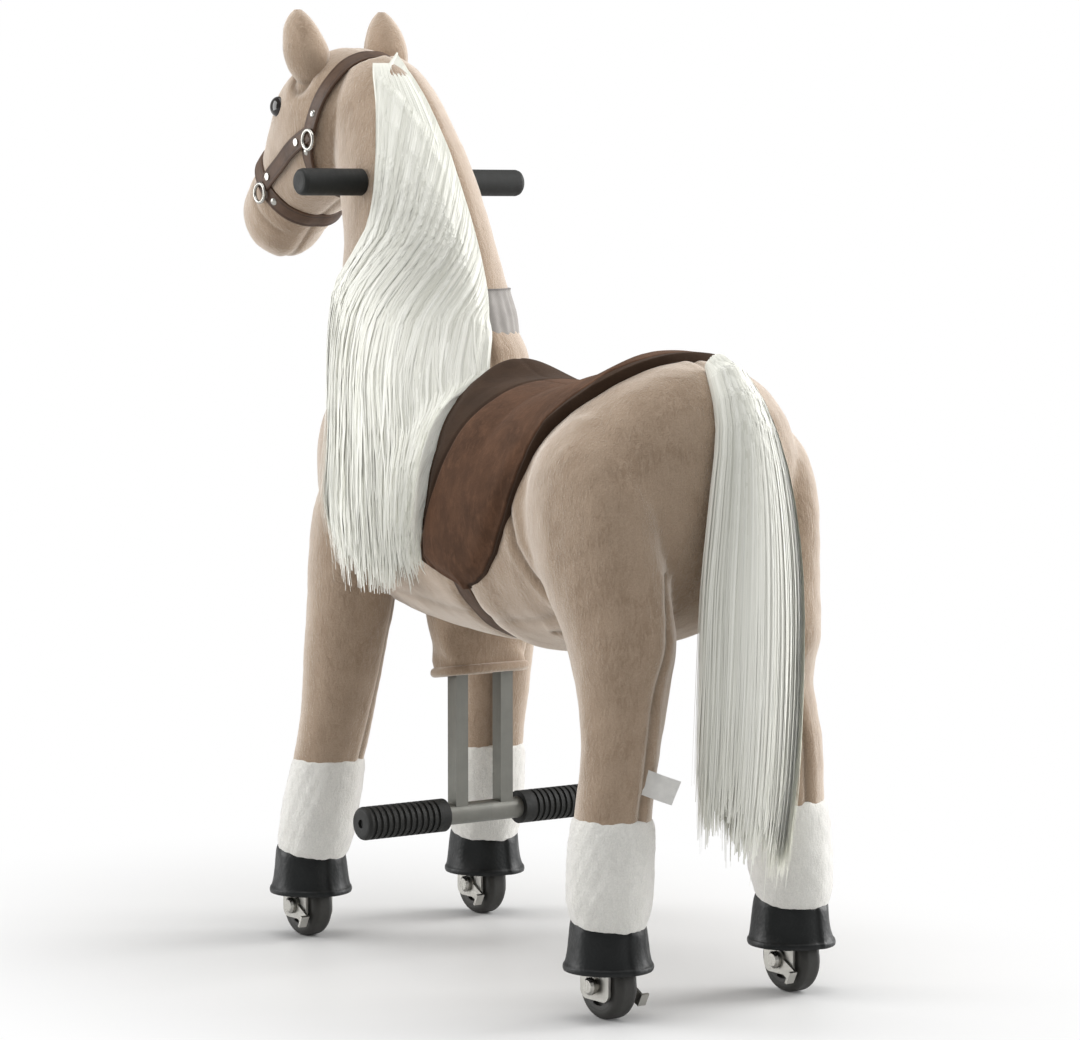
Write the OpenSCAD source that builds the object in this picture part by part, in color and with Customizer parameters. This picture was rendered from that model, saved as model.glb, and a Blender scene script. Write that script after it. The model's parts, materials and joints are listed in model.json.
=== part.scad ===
// Ride-on plush horse on wheels. A steel frame with swinging legs carries a stuffed skin.
// +X points to the nose, +Y to the rider's left and +Z up. The origin lies on the floor
// under the middle of the part's box. All sizes are in millimetres.

/* [Chassis] */
// Distance between the front and rear axles
wheelbase = 525; // [490:5:560]
// Distance between the left and right wheels
track = 222; // [210:2:236]
// Outer diameter of the wheels
wheel_d = 66; // [60:1:70]
// Width of the wheels
wheel_w = 24; // [20:1:26]
// Diameter of the axle bolts
axle_d = 8; // [6:1:10]
// Diameter of the leg tubes
leg_tube_d = 20; // [16:1:24]
// Diameter of the shafts that the legs swing on
shaft_d = 22; // [18:1:26]
// Diameter of the two rails of the spine
rail_d = 20; // [16:1:22]
// Diameter of the steering column
column_d = 26; // [22:1:30]
// Side of the square footrest posts
post_side = 15; // [12:1:17]

/* [Controls] */
// Length of the handlebar over its grips
handlebar_length = 276; // [260:2:310]
// Diameter of the handlebar
handlebar_d = 20; // [16:1:22]
// Diameter of the handle grips
grip_d = 28; // [25:1:32]
// Length of each handle grip
grip_length = 76; // [60:1:77]
// Length of the footrest over its grips
footrest_length = 294; // [270:2:320]
// Diameter of the footrest bar
footrest_d = 22; // [18:1:24]
// Diameter of the footrest grips
footrest_grip_d = 34; // [30:1:38]
// Bare bar between each footrest post and its grip
footrest_grip_gap = 11.5; // [4:0.5:20]

/* [Plush] */
// Height of the white socks
sock_height = 98; // [70:2:110]
// Largest diameter of the socks
sock_d = 78; // [72:1:82]
// Height of the soft hooves
hoof_height = 41; // [34:1:44]
// Diameter of the hooves at the hem
hoof_d = 82; // [78:1:88]
// Height of the ears above the brow
ear_height = 80; // [60:1:90]
// Length of the tail
tail_length = 476; // [420:2:500]
// Thickness of the saddle seat
saddle_thickness = 12; // [9:1:15]
// Width of the halter straps
strap_w = 19; // [14:1:24]
// Thickness of the leather straps
strap_t = 3; // [2:0.5:4]

/* [Hidden] */
$fn = 40;

// Fits
soft_gap = 0.3;
hole_gap = 0.6;
running_gap = 0.05;
slip_gap = 0.4;
through_all = 400;

// Places along the chassis
front_axle_x = wheelbase / 2;
rear_axle_x = -wheelbase / 2;
wheel_y = track / 2;
axle_z = wheel_d / 2;
steer_x = front_axle_x - 82;
swing_z = 500;
hip_x = rear_axle_x + 47;
hip_z = 475;
lug_reach = 60;
leg_inset = 27;
shoulder = [steer_x, 0, swing_z];
hip = [hip_x, 0, hip_z];

// Wheel forks and hooves
fork_gap = 1.5;
fork_t = 3;
fork_w = 44;
fork_corner = 9;
fork_drop = 14;
tyre_air = 6;
fork_inside = wheel_w / 2 + fork_gap;
fork_outside = fork_inside + fork_t;
fork_top = wheel_d + tyre_air + fork_t;
hoof_wall = 3.5;
hoof_top = fork_top + 13;
sock_top = hoof_top + sock_height;
head_d = 17;
head_t = 5;
front_hoof_lean = 6;

// Spine and steering
rail_y = 24;
rail_z = 535;
rail_bend_x = steer_x - 70;
rail_bend_z = 549;
rail_head_z = 629;
rail_tail_x = hip_x - 25;
head_tube_bottom = 598;
head_tube_top = 662;
bush_wall = 3.5;
tube_wall = 4;
weld_bead = 1;
bush_flange = 3;
bush_d = column_d + 2 * bush_wall;
head_tube_d = bush_d + 2 * tube_wall;
crown_bottom = 574;
crown_t = 8;
cheek_t = 8;
cheek_inside = 26;
cheek_w = 24;
hanger_t = 8;
hanger_w = 36;
shaft_bush_wall = 3;
shaft_eye_d = shaft_d + 2 * shaft_bush_wall;
shaft_boss_d = shaft_eye_d + 10;
lug_t = 9;
ball_d = 15;
ball_play = 2.5;
stem_z = 712;
bar_x = steer_x + 50.5;
bar_z = 785;
grip_start = handlebar_length / 2 - grip_length;
grip_end_t = 4;
grip_room = 1.2;
grip_rounding = 5;

// Footrest, crank and tie rod
post_x = steer_x - 75;
post_y = 28;
post_top = 526;
footrest_z = 140;
footrest_grip_end_t = 4;
footrest_grip_length = footrest_length / 2 - post_y - post_side / 2 - footrest_grip_gap;
footrest_grip_rounding = 4;
end_hole_d = 9;
end_hole_depth = 2.5;
guide_bottom = 396;
guide_top = 470;
guide_wall = 3;
guide_lining = 2.5;
guide_side = post_side + 2 * (guide_lining + guide_wall);
crank_x = post_x - 39;
crank_rest = 14.6;
crank_rise = 15;
crank_plate_t = 4;
crank_plate_y = 6.5;
crank_hub_d = 20;
crank_shaft_d = 10;
crank_arm_w = 16;
crank_bracket_y = 12;
crank_bracket_t = 5;
pin_d = 8;
slot_air = 1.4;
rod_d = 10;
rod_eye_d = 27;
socket_h = 13;
clevis_h = 18;
stud_d = 8;
rod_front = shoulder + [0, 0, lug_reach];
rod_rear = hip - [0, 0, lug_reach];
rod_slope = (rod_front[2] - rod_rear[2]) / (rod_front[0] - rod_rear[0]);
rod_pin_x = crank_x - crank_rise * tan(crank_rest);
rod_pin_z = rod_rear[2] + rod_slope * (rod_pin_x - rod_rear[0]);
crank_z = rod_pin_z - crank_rise;
arm_reach = post_x - crank_x;
post_pin_z = crank_z + arm_reach * tan(crank_rest);

// Seat board
board_t = 6;
board_l = 170;
board_w = 62;
board_x = -75;

// Smooth curves through stations
function curve(p, q, r, s, t) = 0.5 * (2 * q + (r - p) * t + (2 * p - 5 * q + 4 * r - s) * t * t
    + (3 * q - p - 3 * r + s) * t * t * t);
function stations(list, steps) = [
    for (i = [0:len(list) - 2], j = [0:steps - 1])
        curve(list[max(i - 1, 0)], list[i], list[i + 1], list[min(i + 2, len(list) - 1)], j / steps),
    list[len(list) - 1]
];
function power(v, e) = sign(v) * pow(abs(v), e);

// A ring is a rounded oval. Station: x, y, z, half depth, half width, tilt of the depth line, squareness.
function ring(s, sides, grow) = [
    for (k = [0:sides - 1])
        let (a = 360 * k / sides, c = power(cos(a), 2 / s[6]), d = power(sin(a), 2 / s[6]))
            [s[0], s[1], s[2]] + (s[3] + grow) * c * [cos(s[5]), 0, sin(s[5])] + [0, (s[4] + grow) * d, 0]
];
function rings(list, steps, sides, grow) = [for (s = stations(list, steps)) ring(s, sides, grow)];
function all_points(r) = [for (row = r) for (p = row) p];
function middle(row) = [for (axis = [0:2]) (min([for (p = row) p[axis]]) + max([for (p = row) p[axis]])) / 2];

// Skin over rings that run along the cross product of their depth and width lines
module skin(r) {
    n = len(r[0]);
    m = len(r);
    points = concat(all_points(r), [middle(r[0]), middle(r[m - 1])]);
    sides = [
        for (i = [0:m - 2], k = [0:n - 1], half = [0, 1])
            let (a = i * n + k, b = i * n + (k + 1) % n)
                half == 0 ? [a, b + n, b] : [a, a + n, b + n]
    ];
    bottom = [for (k = [0:n - 1]) [m * n, k, (k + 1) % n]];
    top = [for (k = [0:n - 1]) [m * n + 1, (m - 1) * n + (k + 1) % n, (m - 1) * n + k]];
    polyhedron(points, concat(sides, bottom, top), convexity = 8);
}

module rod(a, b, d) {
    v = b - a;
    translate(a) rotate([0, acos(v[2] / norm(v)), atan2(v[1], v[0])]) cylinder(d = d, h = norm(v));
}

module cross_rod(x, z, half, d) {
    translate([x, -half, z]) rotate([-90, 0, 0]) cylinder(d = d, h = 2 * half);
}

module side_rod(x, y0, y1, z, d) {
    translate([x, y0, z]) rotate([-90, 0, 0]) cylinder(d = d, h = y1 - y0);
}

module block(low, high) {
    translate(low) cube(high - low);
}

module right_side() {
    mirror([0, 1, 0]) children();
}

module both_sides() {
    children();
    right_side() children();
}

// Sewn pieces are one skin of flat facets, with plain holes
module sewn() {
    $fn = 16;
    resize([0, 0, 0]) children();
}

// Torso outline, from the chest back to the rump. Places are shares of the way from hip to shoulder.
function along(share) = hip_x + share * (steer_x - hip_x);
function barrel(share, top, bottom, half_width) =
    [along(share), 0, (top + bottom) / 2, (top - bottom) / 2, half_width, 90, 2.2];
torso_line = [
    barrel(1.285, 540, 470, 36), barrel(1.255, 578, 430, 76), barrel(1.18, 602, 386, 104),
    barrel(1.06, 607, 353, 120), barrel(0.92, 603, 339, 124), barrel(0.75, 592, 331, 127),
    barrel(0.545, 580, 327, 130), barrel(0.355, 575, 326, 132), barrel(0.165, 592, 332, 131),
    barrel(0.012, 612, 345, 128), barrel(-0.12, 610, 372, 114), barrel(-0.2, 586, 418, 84),
    barrel(-0.235, 550, 468, 40)
];
cavity_half = 62;
cavity_line = [
    [along(1.17), 0, 500, 60, 52, 90, 4], [along(1.1), 0, 488, 98, cavity_half, 90, 4],
    [along(0.9), 0, 471, 115, cavity_half, 90, 4], [along(0.7), 0, 462, 114, cavity_half, 90, 4],
    [along(0.355), 0, 454, 111, cavity_half, 90, 4], [along(0.05), 0, 466, 105, cavity_half, 90, 4],
    [along(-0.12), 0, 492, 85, cavity_half - 8, 90, 4], [along(-0.17), 0, 500, 50, 40, 90, 4]
];
collar_bottom = 632;
collar_top = 668;
collar_x = steer_x + 25;
collar_half = [101, 82];
base_half = [108, 87];
neck_base = [collar_x, 0, collar_top + 0.5, collar_half[0], collar_half[1] - 1, 0, 2];
stump_line = [
    [collar_x - 5, 0, 535, 78, 92, 0, 2], [collar_x - 8, 0, 590, 114, 100, 0, 2],
    [collar_x - 5, 0, collar_bottom, base_half[0], base_half[1], 0, 2]
];
stump_hole = [86, 51];
window_front = 78;
window_back = 68;
window_top = 545;
window_inside = 50;
drum_d = 200;
drum_inside = cavity_half + 8;
drum_drop = 100;
slot_half = [16, 48];

module torso_outside(grow) {
    skin(rings(torso_line, 2, 22, grow));
    skin(rings(stump_line, 1, 20, grow));
}

module leg_window(grow) {
    block([steer_x - window_back - grow, window_inside - grow, 250],
        [steer_x + window_front + grow, through_all, window_top + grow]);
}

module haunch_drum(grow) {
    side_rod(hip_x, drum_inside - grow, through_all, hip_z, drum_d + 2 * grow, $fn = 40);
    block([hip_x - drum_d / 2, drum_inside - grow, hip_z - 2 * drum_drop],
        [hip_x + 0.74 * drum_d / 2, through_all, hip_z]);
}

module torso() {
    color("tan") sewn() difference() {
        torso_outside(0);
        skin(rings(cavity_line, 1, 16, 0));
        translate([steer_x + 12, 0, 540]) scale([stump_hole[0], stump_hole[1], 1]) cylinder(r = 1, h = 200);
        block([post_x - slot_half[0], -slot_half[1], 280], [post_x + slot_half[0], slot_half[1], 420]);
        cross_rod(hip_x, hip_z, through_all, shaft_d + 3);
        both_sides() {
            leg_window(0);
            haunch_drum(0);
        }
    }
}

// Saddle, girth and sleeve follow the torso
saddle_outline = [
    [along(0.71), 660], [along(0.7), 600], [along(0.62), 560], [along(0.57), 520], [along(0.56), 470],
    [along(0.6), 410], [along(0.45), 392], [along(0.37), 394], [along(0.267), 428], [along(0.2), 490],
    [along(0.15), 530], [along(0.07), 565], [along(-0.01), 586], [along(-0.08), 610], [along(-0.085), 660]
];
saddle_corner = 10;
girth_x = along(0.47);
girth_w = 26;
girth_top = 420;

module saddle_side(grow) {
    rotate([90, 0, 0]) linear_extrude(2 * through_all, center = true)
        offset(saddle_corner + grow) offset(-saddle_corner) polygon(saddle_outline);
}

module saddle_shape(grow) {
    intersection() {
        skin(rings(torso_line, 2, 22, saddle_thickness + grow));
        saddle_side(grow);
    }
}

module saddle() {
    color("saddlebrown") sewn() difference() {
        saddle_shape(0);
        torso_outside(soft_gap);
    }
}

module girth_strap() {
    color("sienna") sewn() difference() {
        intersection() {
            skin(rings(torso_line, 2, 22, soft_gap + strap_t));
            block([girth_x - girth_w / 2, -through_all, 300], [girth_x + girth_w / 2, through_all, girth_top]);
        }
        torso_outside(soft_gap);
        saddle_shape(soft_gap);
        both_sides() haunch_drum(0);
    }
}

sleeve_bottom = 284;
sleeve_wall = 5;
sleeve_half = [29, 50];
sleeve_line = [
    [post_x, 0, sleeve_bottom, sleeve_half[0] - 3, sleeve_half[1] - 2, 0, 3],
    [post_x, 0, sleeve_bottom + 25, sleeve_half[0], sleeve_half[1], 0, 3],
    [post_x, 0, 360, sleeve_half[0] + 6, sleeve_half[1] + 5, 0, 3]
];

module footrest_sleeve() {
    color("burlywood") sewn() difference() {
        skin(rings(sleeve_line, 2, 24, 0));
        translate([0, 0, -1]) skin(rings(sleeve_line, 2, 24, -sleeve_wall));
        block([post_x - 100, -100, 350], [post_x + 100, 100, 400]);
        torso_outside(soft_gap);
    }
}

gaiter_wall = 5;
gaiter_line = [
    [collar_x - 5, 0, collar_bottom + soft_gap, base_half[0] - 1, base_half[1] - 1, 0, 2],
    [collar_x - 2, 0, (collar_bottom + collar_top) / 2, collar_half[0] + 4, collar_half[1] + 4, 0, 2],
    [collar_x, 0, collar_top, collar_half[0] - 1, collar_half[1] - 1, 0, 2]
];

module neck_gaiter() {
    color("gray") sewn() difference() {
        skin(rings(gaiter_line, 2, 24, 0));
        linear_extrude(2 * collar_top, center = true) translate([collar_x, 0])
            scale([collar_half[0] - gaiter_wall, collar_half[1] - gaiter_wall]) circle(1, $fn = 24);
    }
}

// Shoulders and legs. A leg station gives height, share of the way from axle to pivot, half depth and half width.
function foreleg(z, share, depth, width) =
    [front_axle_x + share * (steer_x - front_axle_x), wheel_y - leg_inset * share, z, depth, width, 0, 2];
function hindleg(z, back, depth, width, out = 0) = [rear_axle_x - back, wheel_y - out, z, depth, width, 0, 2];
leg_ball_r = 190;
seat_ball_d = 280;
foreleg_line = [
    foreleg(sock_top, 0.32, sock_d / 2 - 3, sock_d / 2 - 3), foreleg(sock_top + 64, 0.49, 39, 38),
    foreleg(304, 0.59, 44, 41), foreleg(357, 0.69, 49, 44), foreleg(400, 0.76, 53, 46), foreleg(440, 0.85, 56, 46)
];
shoulder_line = [
    foreleg(340, 0.66, 48, 43), foreleg(400, 0.76, 54, 46), foreleg(450, 0.87, 60, 45),
    [steer_x, wheel_y - 34, 500, 58, 42, 0, 2], [steer_x, wheel_y - 46, 545, 36, 26, 0, 2]
];
hindleg_line = [
    hindleg(sock_top, -2, sock_d / 2 - 2, sock_d / 2 - 2, 6), hindleg(sock_top + 62, 2, 37, 37, 12),
    hindleg(303, -9, 44, 43, 23), hindleg(350, -11, 58, 47, 23), hindleg(400, -30, 72, 50, 20),
    hindleg(445, -43, 82, 50, 16), hindleg(490, -47, 80, 49, 15), hindleg(530, -48, 64, 43, 18),
    hindleg(563, -48, 32, 24, 24)
];
foresock_line = [
    foreleg(hoof_top, 0.09, 35, 35), foreleg(hoof_top + 0.25 * sock_height, 0.15, sock_d / 2 - 0.5, sock_d / 2 - 0.5),
    foreleg(hoof_top + 0.55 * sock_height, 0.22, sock_d / 2, sock_d / 2),
    foreleg(hoof_top + 0.85 * sock_height, 0.29, sock_d / 2 - 1.5, sock_d / 2 - 1.5),
    foreleg(sock_top, 0.32, sock_d / 2 - 3, sock_d / 2 - 3)
];
hindsock_line = [
    hindleg(hoof_top, 0, 35, 35), hindleg(hoof_top + 0.25 * sock_height, 0, sock_d / 2, sock_d / 2, 1),
    hindleg(hoof_top + 0.55 * sock_height, -1, sock_d / 2 + 1, sock_d / 2 + 1, 3),
    hindleg(hoof_top + 0.85 * sock_height, -1, sock_d / 2, sock_d / 2, 5),
    hindleg(sock_top, -2, sock_d / 2 - 2, sock_d / 2 - 2, 6)
];

front_foot = [front_axle_x - front_hoof_lean, wheel_y, fork_top];
front_elbow = [steer_x, wheel_y - leg_inset, swing_z];
rear_foot = [rear_axle_x, wheel_y, fork_top];
rear_elbow = [hip_x, wheel_y - leg_inset, hip_z];

module front_tubes(d) {
    rod(front_foot, front_elbow, d);
    translate(front_elbow) sphere(d = max(d, shaft_d + weld_bead + d - leg_tube_d));
}

module rear_tubes(d) {
    rod(rear_foot, rear_elbow, d);
    translate(rear_elbow) sphere(d = max(d, shaft_d + weld_bead + d - leg_tube_d));
}

// A shoulder pad fills the window in the torso's side and ends in a ball that the leg swings round
module shoulder_pad() {
    difference() {
        intersection() {
            union() {
                skin(rings(shoulder_line, 1, 18, 0));
                intersection() {
                    torso_outside(0);
                    leg_window(-soft_gap);
                }
            }
            translate(shoulder) sphere(r = leg_ball_r - 2, $fn = 44);
        }
        difference() {
            torso_outside(soft_gap);
            leg_window(-soft_gap);
        }
        block([0, -1, 0], [through_all, cavity_half, 2 * through_all]);
        front_tubes(leg_tube_d + 2 * hole_gap);
        cross_rod(steer_x, swing_z, through_all, shaft_d + 2 * hole_gap);
    }
}

module left_shoulder() {
    color("tan") sewn() shoulder_pad();
}

module right_shoulder() {
    color("tan") sewn() right_side() shoulder_pad();
}

module foreleg_plush() {
    difference() {
        skin(rings(foreleg_line, 1, 18, 0));
        translate(shoulder) sphere(r = leg_ball_r, $fn = 44);
        front_tubes(leg_tube_d + 2 * hole_gap);
    }
}

module hindleg_plush() {
    difference() {
        skin(rings(hindleg_line, 1, 20, 0));
        side_rod(hip_x, -1, drum_inside + 2 * soft_gap, hip_z, seat_ball_d, $fn = 40);
        rear_tubes(leg_tube_d + 2 * hole_gap);
        cross_rod(hip_x, hip_z, through_all, shaft_d + 2 * hole_gap);
    }
}

module front_left_leg() {
    color("tan") sewn() foreleg_plush();
}

module front_right_leg() {
    color("tan") sewn() right_side() foreleg_plush();
}

module rear_left_leg() {
    color("tan") sewn() hindleg_plush();
}

module rear_right_leg() {
    color("tan") sewn() right_side() hindleg_plush();
}

module front_socks() {
    color("ivory") sewn() both_sides() difference() {
        skin(rings(foresock_line, 1, 18, 0));
        front_tubes(leg_tube_d + 2 * hole_gap);
    }
}

module rear_socks() {
    color("ivory") sewn() both_sides() difference() {
        skin(rings(hindsock_line, 1, 20, 0));
        rear_tubes(leg_tube_d + 2 * hole_gap);
    }
}

// A hoof is a flared boot, open below over the wheel
module hoof(x) {
    top_r = 36;
    hem_r = hoof_d / 2;
    bend = 6;
    for (side = [1, -1]) translate([x, side * wheel_y, hoof_top - hoof_height]) rotate_extrude() polygon([
        [hem_r - hoof_wall, 0], [hem_r, 0], [hem_r + 0.8, 3], [hem_r - 0.2, 6], [top_r, hoof_height - bend],
        [top_r - 2, hoof_height - 1.5], [top_r - 4, hoof_height], [leg_tube_d / 2 + 4, hoof_height],
        [leg_tube_d / 2 + 4, hoof_height - hoof_wall], [top_r - hoof_wall - 2, hoof_height - hoof_wall],
        [top_r - hoof_wall, hoof_height - bend - 1]
    ]);
}

module front_hooves() {
    color("#222222") hoof(front_axle_x - front_hoof_lean);
}

module rear_hooves() {
    color("#222222") hoof(rear_axle_x);
}

// Wheel forks, axles, wheels and levers
module plate_outline() {
    low = axle_z - fork_drop;
    translate([-fork_w / 2, low + fork_corner]) square([fork_w, fork_top - low - fork_corner]);
    translate([-fork_w / 2 + fork_corner, low]) square([fork_w - 2 * fork_corner, fork_corner]);
    for (end = [1, -1]) translate([end * (fork_w / 2 - fork_corner), low + fork_corner]) circle(fork_corner);
}

module forks(x) {
    for (side = [1, -1]) translate([x, side * wheel_y, 0]) difference() {
        union() {
            for (end = [1, -1]) translate([0, end * (fork_inside + fork_t / 2), 0])
                rotate([90, 0, 0]) linear_extrude(fork_t, center = true) plate_outline();
            block([-fork_w / 2, -fork_outside, fork_top - fork_t], [fork_w / 2, fork_outside, fork_top]);
        }
        cross_rod(0, axle_z, 2 * fork_outside, axle_d + 2 * running_gap);
    }
}

module front_forks() {
    color("silver") forks(front_axle_x);
}

module rear_forks() {
    color("silver") forks(rear_axle_x);
}

lever_t = 2.5;
lever_air = 0.4;
lever_stud_d = 12;
lever_boss_t = lever_t + 2 * lever_air;

module axles(x) {
    boss = fork_outside + lever_boss_t;
    for (side = [1, -1]) translate([x, side * wheel_y, axle_z]) rotate([-90, 0, 0]) {
        translate([0, 0, -boss - head_t]) cylinder(d = axle_d, h = 2 * (boss + head_t));
        for (end = [0, 180]) rotate([end, 0, 0]) {
            translate([0, 0, fork_outside]) cylinder(d = lever_stud_d, h = lever_boss_t);
            translate([0, 0, boss]) cylinder(d = head_d, h = head_t - 2);
            translate([0, 0, boss + head_t - 2]) cylinder(d1 = head_d, d2 = head_d - 5, h = 2);
        }
    }
}

module front_axles() {
    color("gainsboro") axles(front_axle_x);
}

module rear_axles() {
    color("gainsboro") axles(rear_axle_x);
}

tyre_depth = 10;
hub_d = wheel_d - 2 * tyre_depth;
hub_recess = 4;
hub_rim = 3.5;
hub_core_d = axle_d + 12;

module wheel_at(x, y) {
    translate([x, y, axle_z]) rotate([-90, 0, 0]) children();
}

module hub() {
    half = wheel_w / 2;
    difference() {
        translate([0, 0, -half]) cylinder(d = hub_d, h = wheel_w);
        translate([0, 0, -through_all / 2]) cylinder(d = axle_d + 2 * running_gap, h = through_all);
        for (end = [0, 180]) rotate([end, 0, 0]) translate([0, 0, half - hub_recess]) difference() {
            cylinder(d = hub_d - 2 * hub_rim, h = hub_recess + 1);
            translate([0, 0, -1]) cylinder(d = hub_core_d, h = hub_recess + 3);
            for (turn = [0:60:120]) rotate([0, 0, turn])
                translate([-hub_d, -2, -1]) cube([2 * hub_d, 4, hub_recess + 3]);
        }
    }
}

module tyre() {
    half = wheel_w / 2;
    shoulder_r = 7;
    seat_r = hub_d / 2 + running_gap;
    rotate_extrude() intersection() {
        union() {
            translate([seat_r, -half]) square([wheel_d / 2 - shoulder_r - seat_r, wheel_w]);
            translate([seat_r, shoulder_r - half]) square([wheel_d / 2 - seat_r, wheel_w - 2 * shoulder_r]);
            for (end = [1, -1]) translate([wheel_d / 2 - shoulder_r, end * (half - shoulder_r)]) circle(shoulder_r);
        }
        translate([seat_r, -half]) square([wheel_d, wheel_w]);
    }
}

// A lever turns on the axle beside its fork plate, with a thumb tab bent outwards behind the wheel
lever_reach = 30;
lever_w = 13;
tab_out = 9;

module lever(side) {
    rotate([side < 0 ? 180 : 0, 0, 0]) rotate([0, 0, side < 0 ? -152 : 152]) translate([0, 0, fork_outside + lever_air])
        difference() {
            union() {
                cylinder(d = lever_stud_d + 9, h = lever_t);
                translate([0, -lever_w / 2, 0]) cube([lever_reach, lever_w, lever_t]);
                translate([lever_reach - lever_t, -lever_w / 2, 0]) cube([lever_t, lever_w, tab_out]);
            }
            translate([0, 0, -1]) cylinder(d = lever_stud_d + 2 * running_gap, h = lever_t + 2);
        }
}

module front_left_wheel() {
    color("#333333") wheel_at(front_axle_x, wheel_y) hub();
}

module front_right_wheel() {
    color("#333333") wheel_at(front_axle_x, -wheel_y) hub();
}

module rear_left_wheel() {
    color("#333333") wheel_at(rear_axle_x, wheel_y) hub();
}

module rear_right_wheel() {
    color("#333333") wheel_at(rear_axle_x, -wheel_y) hub();
}

module front_left_tyre() {
    color("#1a1a1a") wheel_at(front_axle_x, wheel_y) tyre();
}

module front_right_tyre() {
    color("#1a1a1a") wheel_at(front_axle_x, -wheel_y) tyre();
}

module rear_left_tyre() {
    color("#1a1a1a") wheel_at(rear_axle_x, wheel_y) tyre();
}

module rear_right_tyre() {
    color("#1a1a1a") wheel_at(rear_axle_x, -wheel_y) tyre();
}

module front_left_lever() {
    color("lightgray") wheel_at(front_axle_x, wheel_y) lever(1);
}

module front_right_lever() {
    color("lightgray") wheel_at(front_axle_x, -wheel_y) lever(1);
}

module rear_left_lever() {
    color("lightgray") wheel_at(rear_axle_x, wheel_y) lever(-1);
}

module rear_right_lever() {
    color("lightgray") wheel_at(rear_axle_x, -wheel_y) lever(1);
}

// Steel frames. The leg tubes run a little too far and are cut off level on the forks.
function mirrored(p, side) = [p[0], side * p[1], p[2]];
function sunk(foot, above) = foot + leg_tube_d / 2 * (foot - above) / norm(foot - above);

module below_forks() {
    block([-through_all, -through_all, 0], [through_all, through_all, fork_top]);
}

module lug_plate(x, low, high) {
    block([x - lug_t, -lug_t / 2, low], [x + lug_t, lug_t / 2, high]);
}

module front_leg_frame() {
    color("silver") difference() {
        front_leg_tubes();
        below_forks();
    }
}

module front_leg_tubes() {
    union() {
        cross_rod(steer_x, swing_z, wheel_y - leg_inset, shaft_d);
        lug_plate(steer_x, swing_z, rod_front[2] - ball_d - 3);
        rod(rod_front - [0, 0, ball_d + 4], rod_front, stud_d);
        translate(rod_front) sphere(d = ball_d);
        for (side = [1, -1]) {
            rod(mirrored(sunk(front_foot, front_elbow), side), mirrored(front_elbow, side), leg_tube_d);
            translate(mirrored(front_elbow, side)) sphere(d = shaft_d + weld_bead);
        }
    }
}

module rear_leg_frame() {
    color("silver") difference() {
        rear_leg_tubes();
        below_forks();
    }
}

module rear_leg_tubes() {
    union() {
        cross_rod(hip_x, hip_z, wheel_y - leg_inset, shaft_d);
        lug_plate(hip_x, rod_rear[2] - pin_d, hip_z);
        cross_rod(rod_rear[0], rod_rear[2], lug_t / 2 + slip_gap + 5, pin_d);
        for (side = [1, -1]) {
            rod(mirrored(rear_elbow, side), mirrored(sunk(rear_foot, rear_elbow), side), leg_tube_d);
            translate(mirrored(rear_elbow, side)) sphere(d = shaft_d + weld_bead);
        }
    }
}

module spine_frame() {
    color("dimgray") difference() {
        union() {
            translate([steer_x, 0, head_tube_bottom]) cylinder(d = head_tube_d, h = head_tube_top - head_tube_bottom);
            for (side = [1, -1]) {
                rod([rail_bend_x, side * rail_y, rail_bend_z], [steer_x, side * rail_y, rail_head_z], rail_d);
                rod([rail_tail_x, side * rail_y, rail_z], [rail_bend_x, side * rail_y, rail_bend_z], rail_d);
                translate([rail_bend_x, side * rail_y, rail_bend_z]) sphere(d = rail_d + weld_bead);
                translate([rail_tail_x, side * rail_y, rail_z]) sphere(d = rail_d + weld_bead);
            }
            both_sides() {
                block([hip_x - hanger_w / 2, rail_y, hip_z], [hip_x + hanger_w / 2, rail_y + hanger_t, rail_z]);
                side_rod(hip_x, rail_y, rail_y + hanger_t, hip_z, shaft_boss_d);
                block([post_x - guide_side / 2, post_y - guide_side / 2, guide_bottom],
                    [post_x + guide_side / 2, post_y + guide_side / 2, guide_top]);
                block([post_x - guide_side / 2, post_y + guide_side / 2 - guide_wall, guide_top],
                    [post_x + guide_side / 2, post_y + guide_side / 2, rail_bend_z]);
                block([post_x - guide_side / 2, rail_y, rail_bend_z - 5],
                    [post_x + guide_side / 2, post_y + guide_side / 2, rail_bend_z]);
                block([crank_x - crank_arm_w / 2, crank_bracket_y, crank_z],
                    [crank_x + crank_arm_w / 2, crank_bracket_y + crank_bracket_t, rail_bend_z - 2]);
                side_rod(crank_x, crank_bracket_y, crank_bracket_y + crank_bracket_t, crank_z, crank_hub_d);
            }
        }
        translate([steer_x, 0, 0]) cylinder(d = bush_d, h = 2 * through_all);
        cross_rod(hip_x, hip_z, through_all, shaft_eye_d);
        cross_rod(crank_x, crank_z, through_all, crank_shaft_d + 2 * running_gap);
        for (side = [1, -1]) translate([post_x, side * post_y, 0])
            cube([guide_side - 2 * guide_wall, guide_side - 2 * guide_wall, 2 * guide_top + 0.02], center = true);
    }
}

module steering_bushes() {
    color("ivory") for (end = [0, 1]) translate([steer_x, 0, end ? head_tube_top : head_tube_bottom]) difference() {
        length = 20;
        union() {
            translate([0, 0, end ? -length : 0]) cylinder(d = bush_d, h = length);
            translate([0, 0, end ? 0 : -bush_flange]) cylinder(d = bush_d + 6, h = bush_flange);
        }
        translate([0, 0, -2 * length]) cylinder(d = column_d + 2 * running_gap, h = 4 * length);
    }
}

module guide_bushes() {
    color("ivory") for (side = [1, -1], end = [0, 1])
        translate([post_x, side * post_y, end ? guide_top - 12 : guide_bottom + 12]) difference() {
            outer = guide_side - 2 * guide_wall;
            cube([outer, outer, 24], center = true);
            cube([post_side + 2 * running_gap, post_side + 2 * running_gap, 30], center = true);
        }
}

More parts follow.
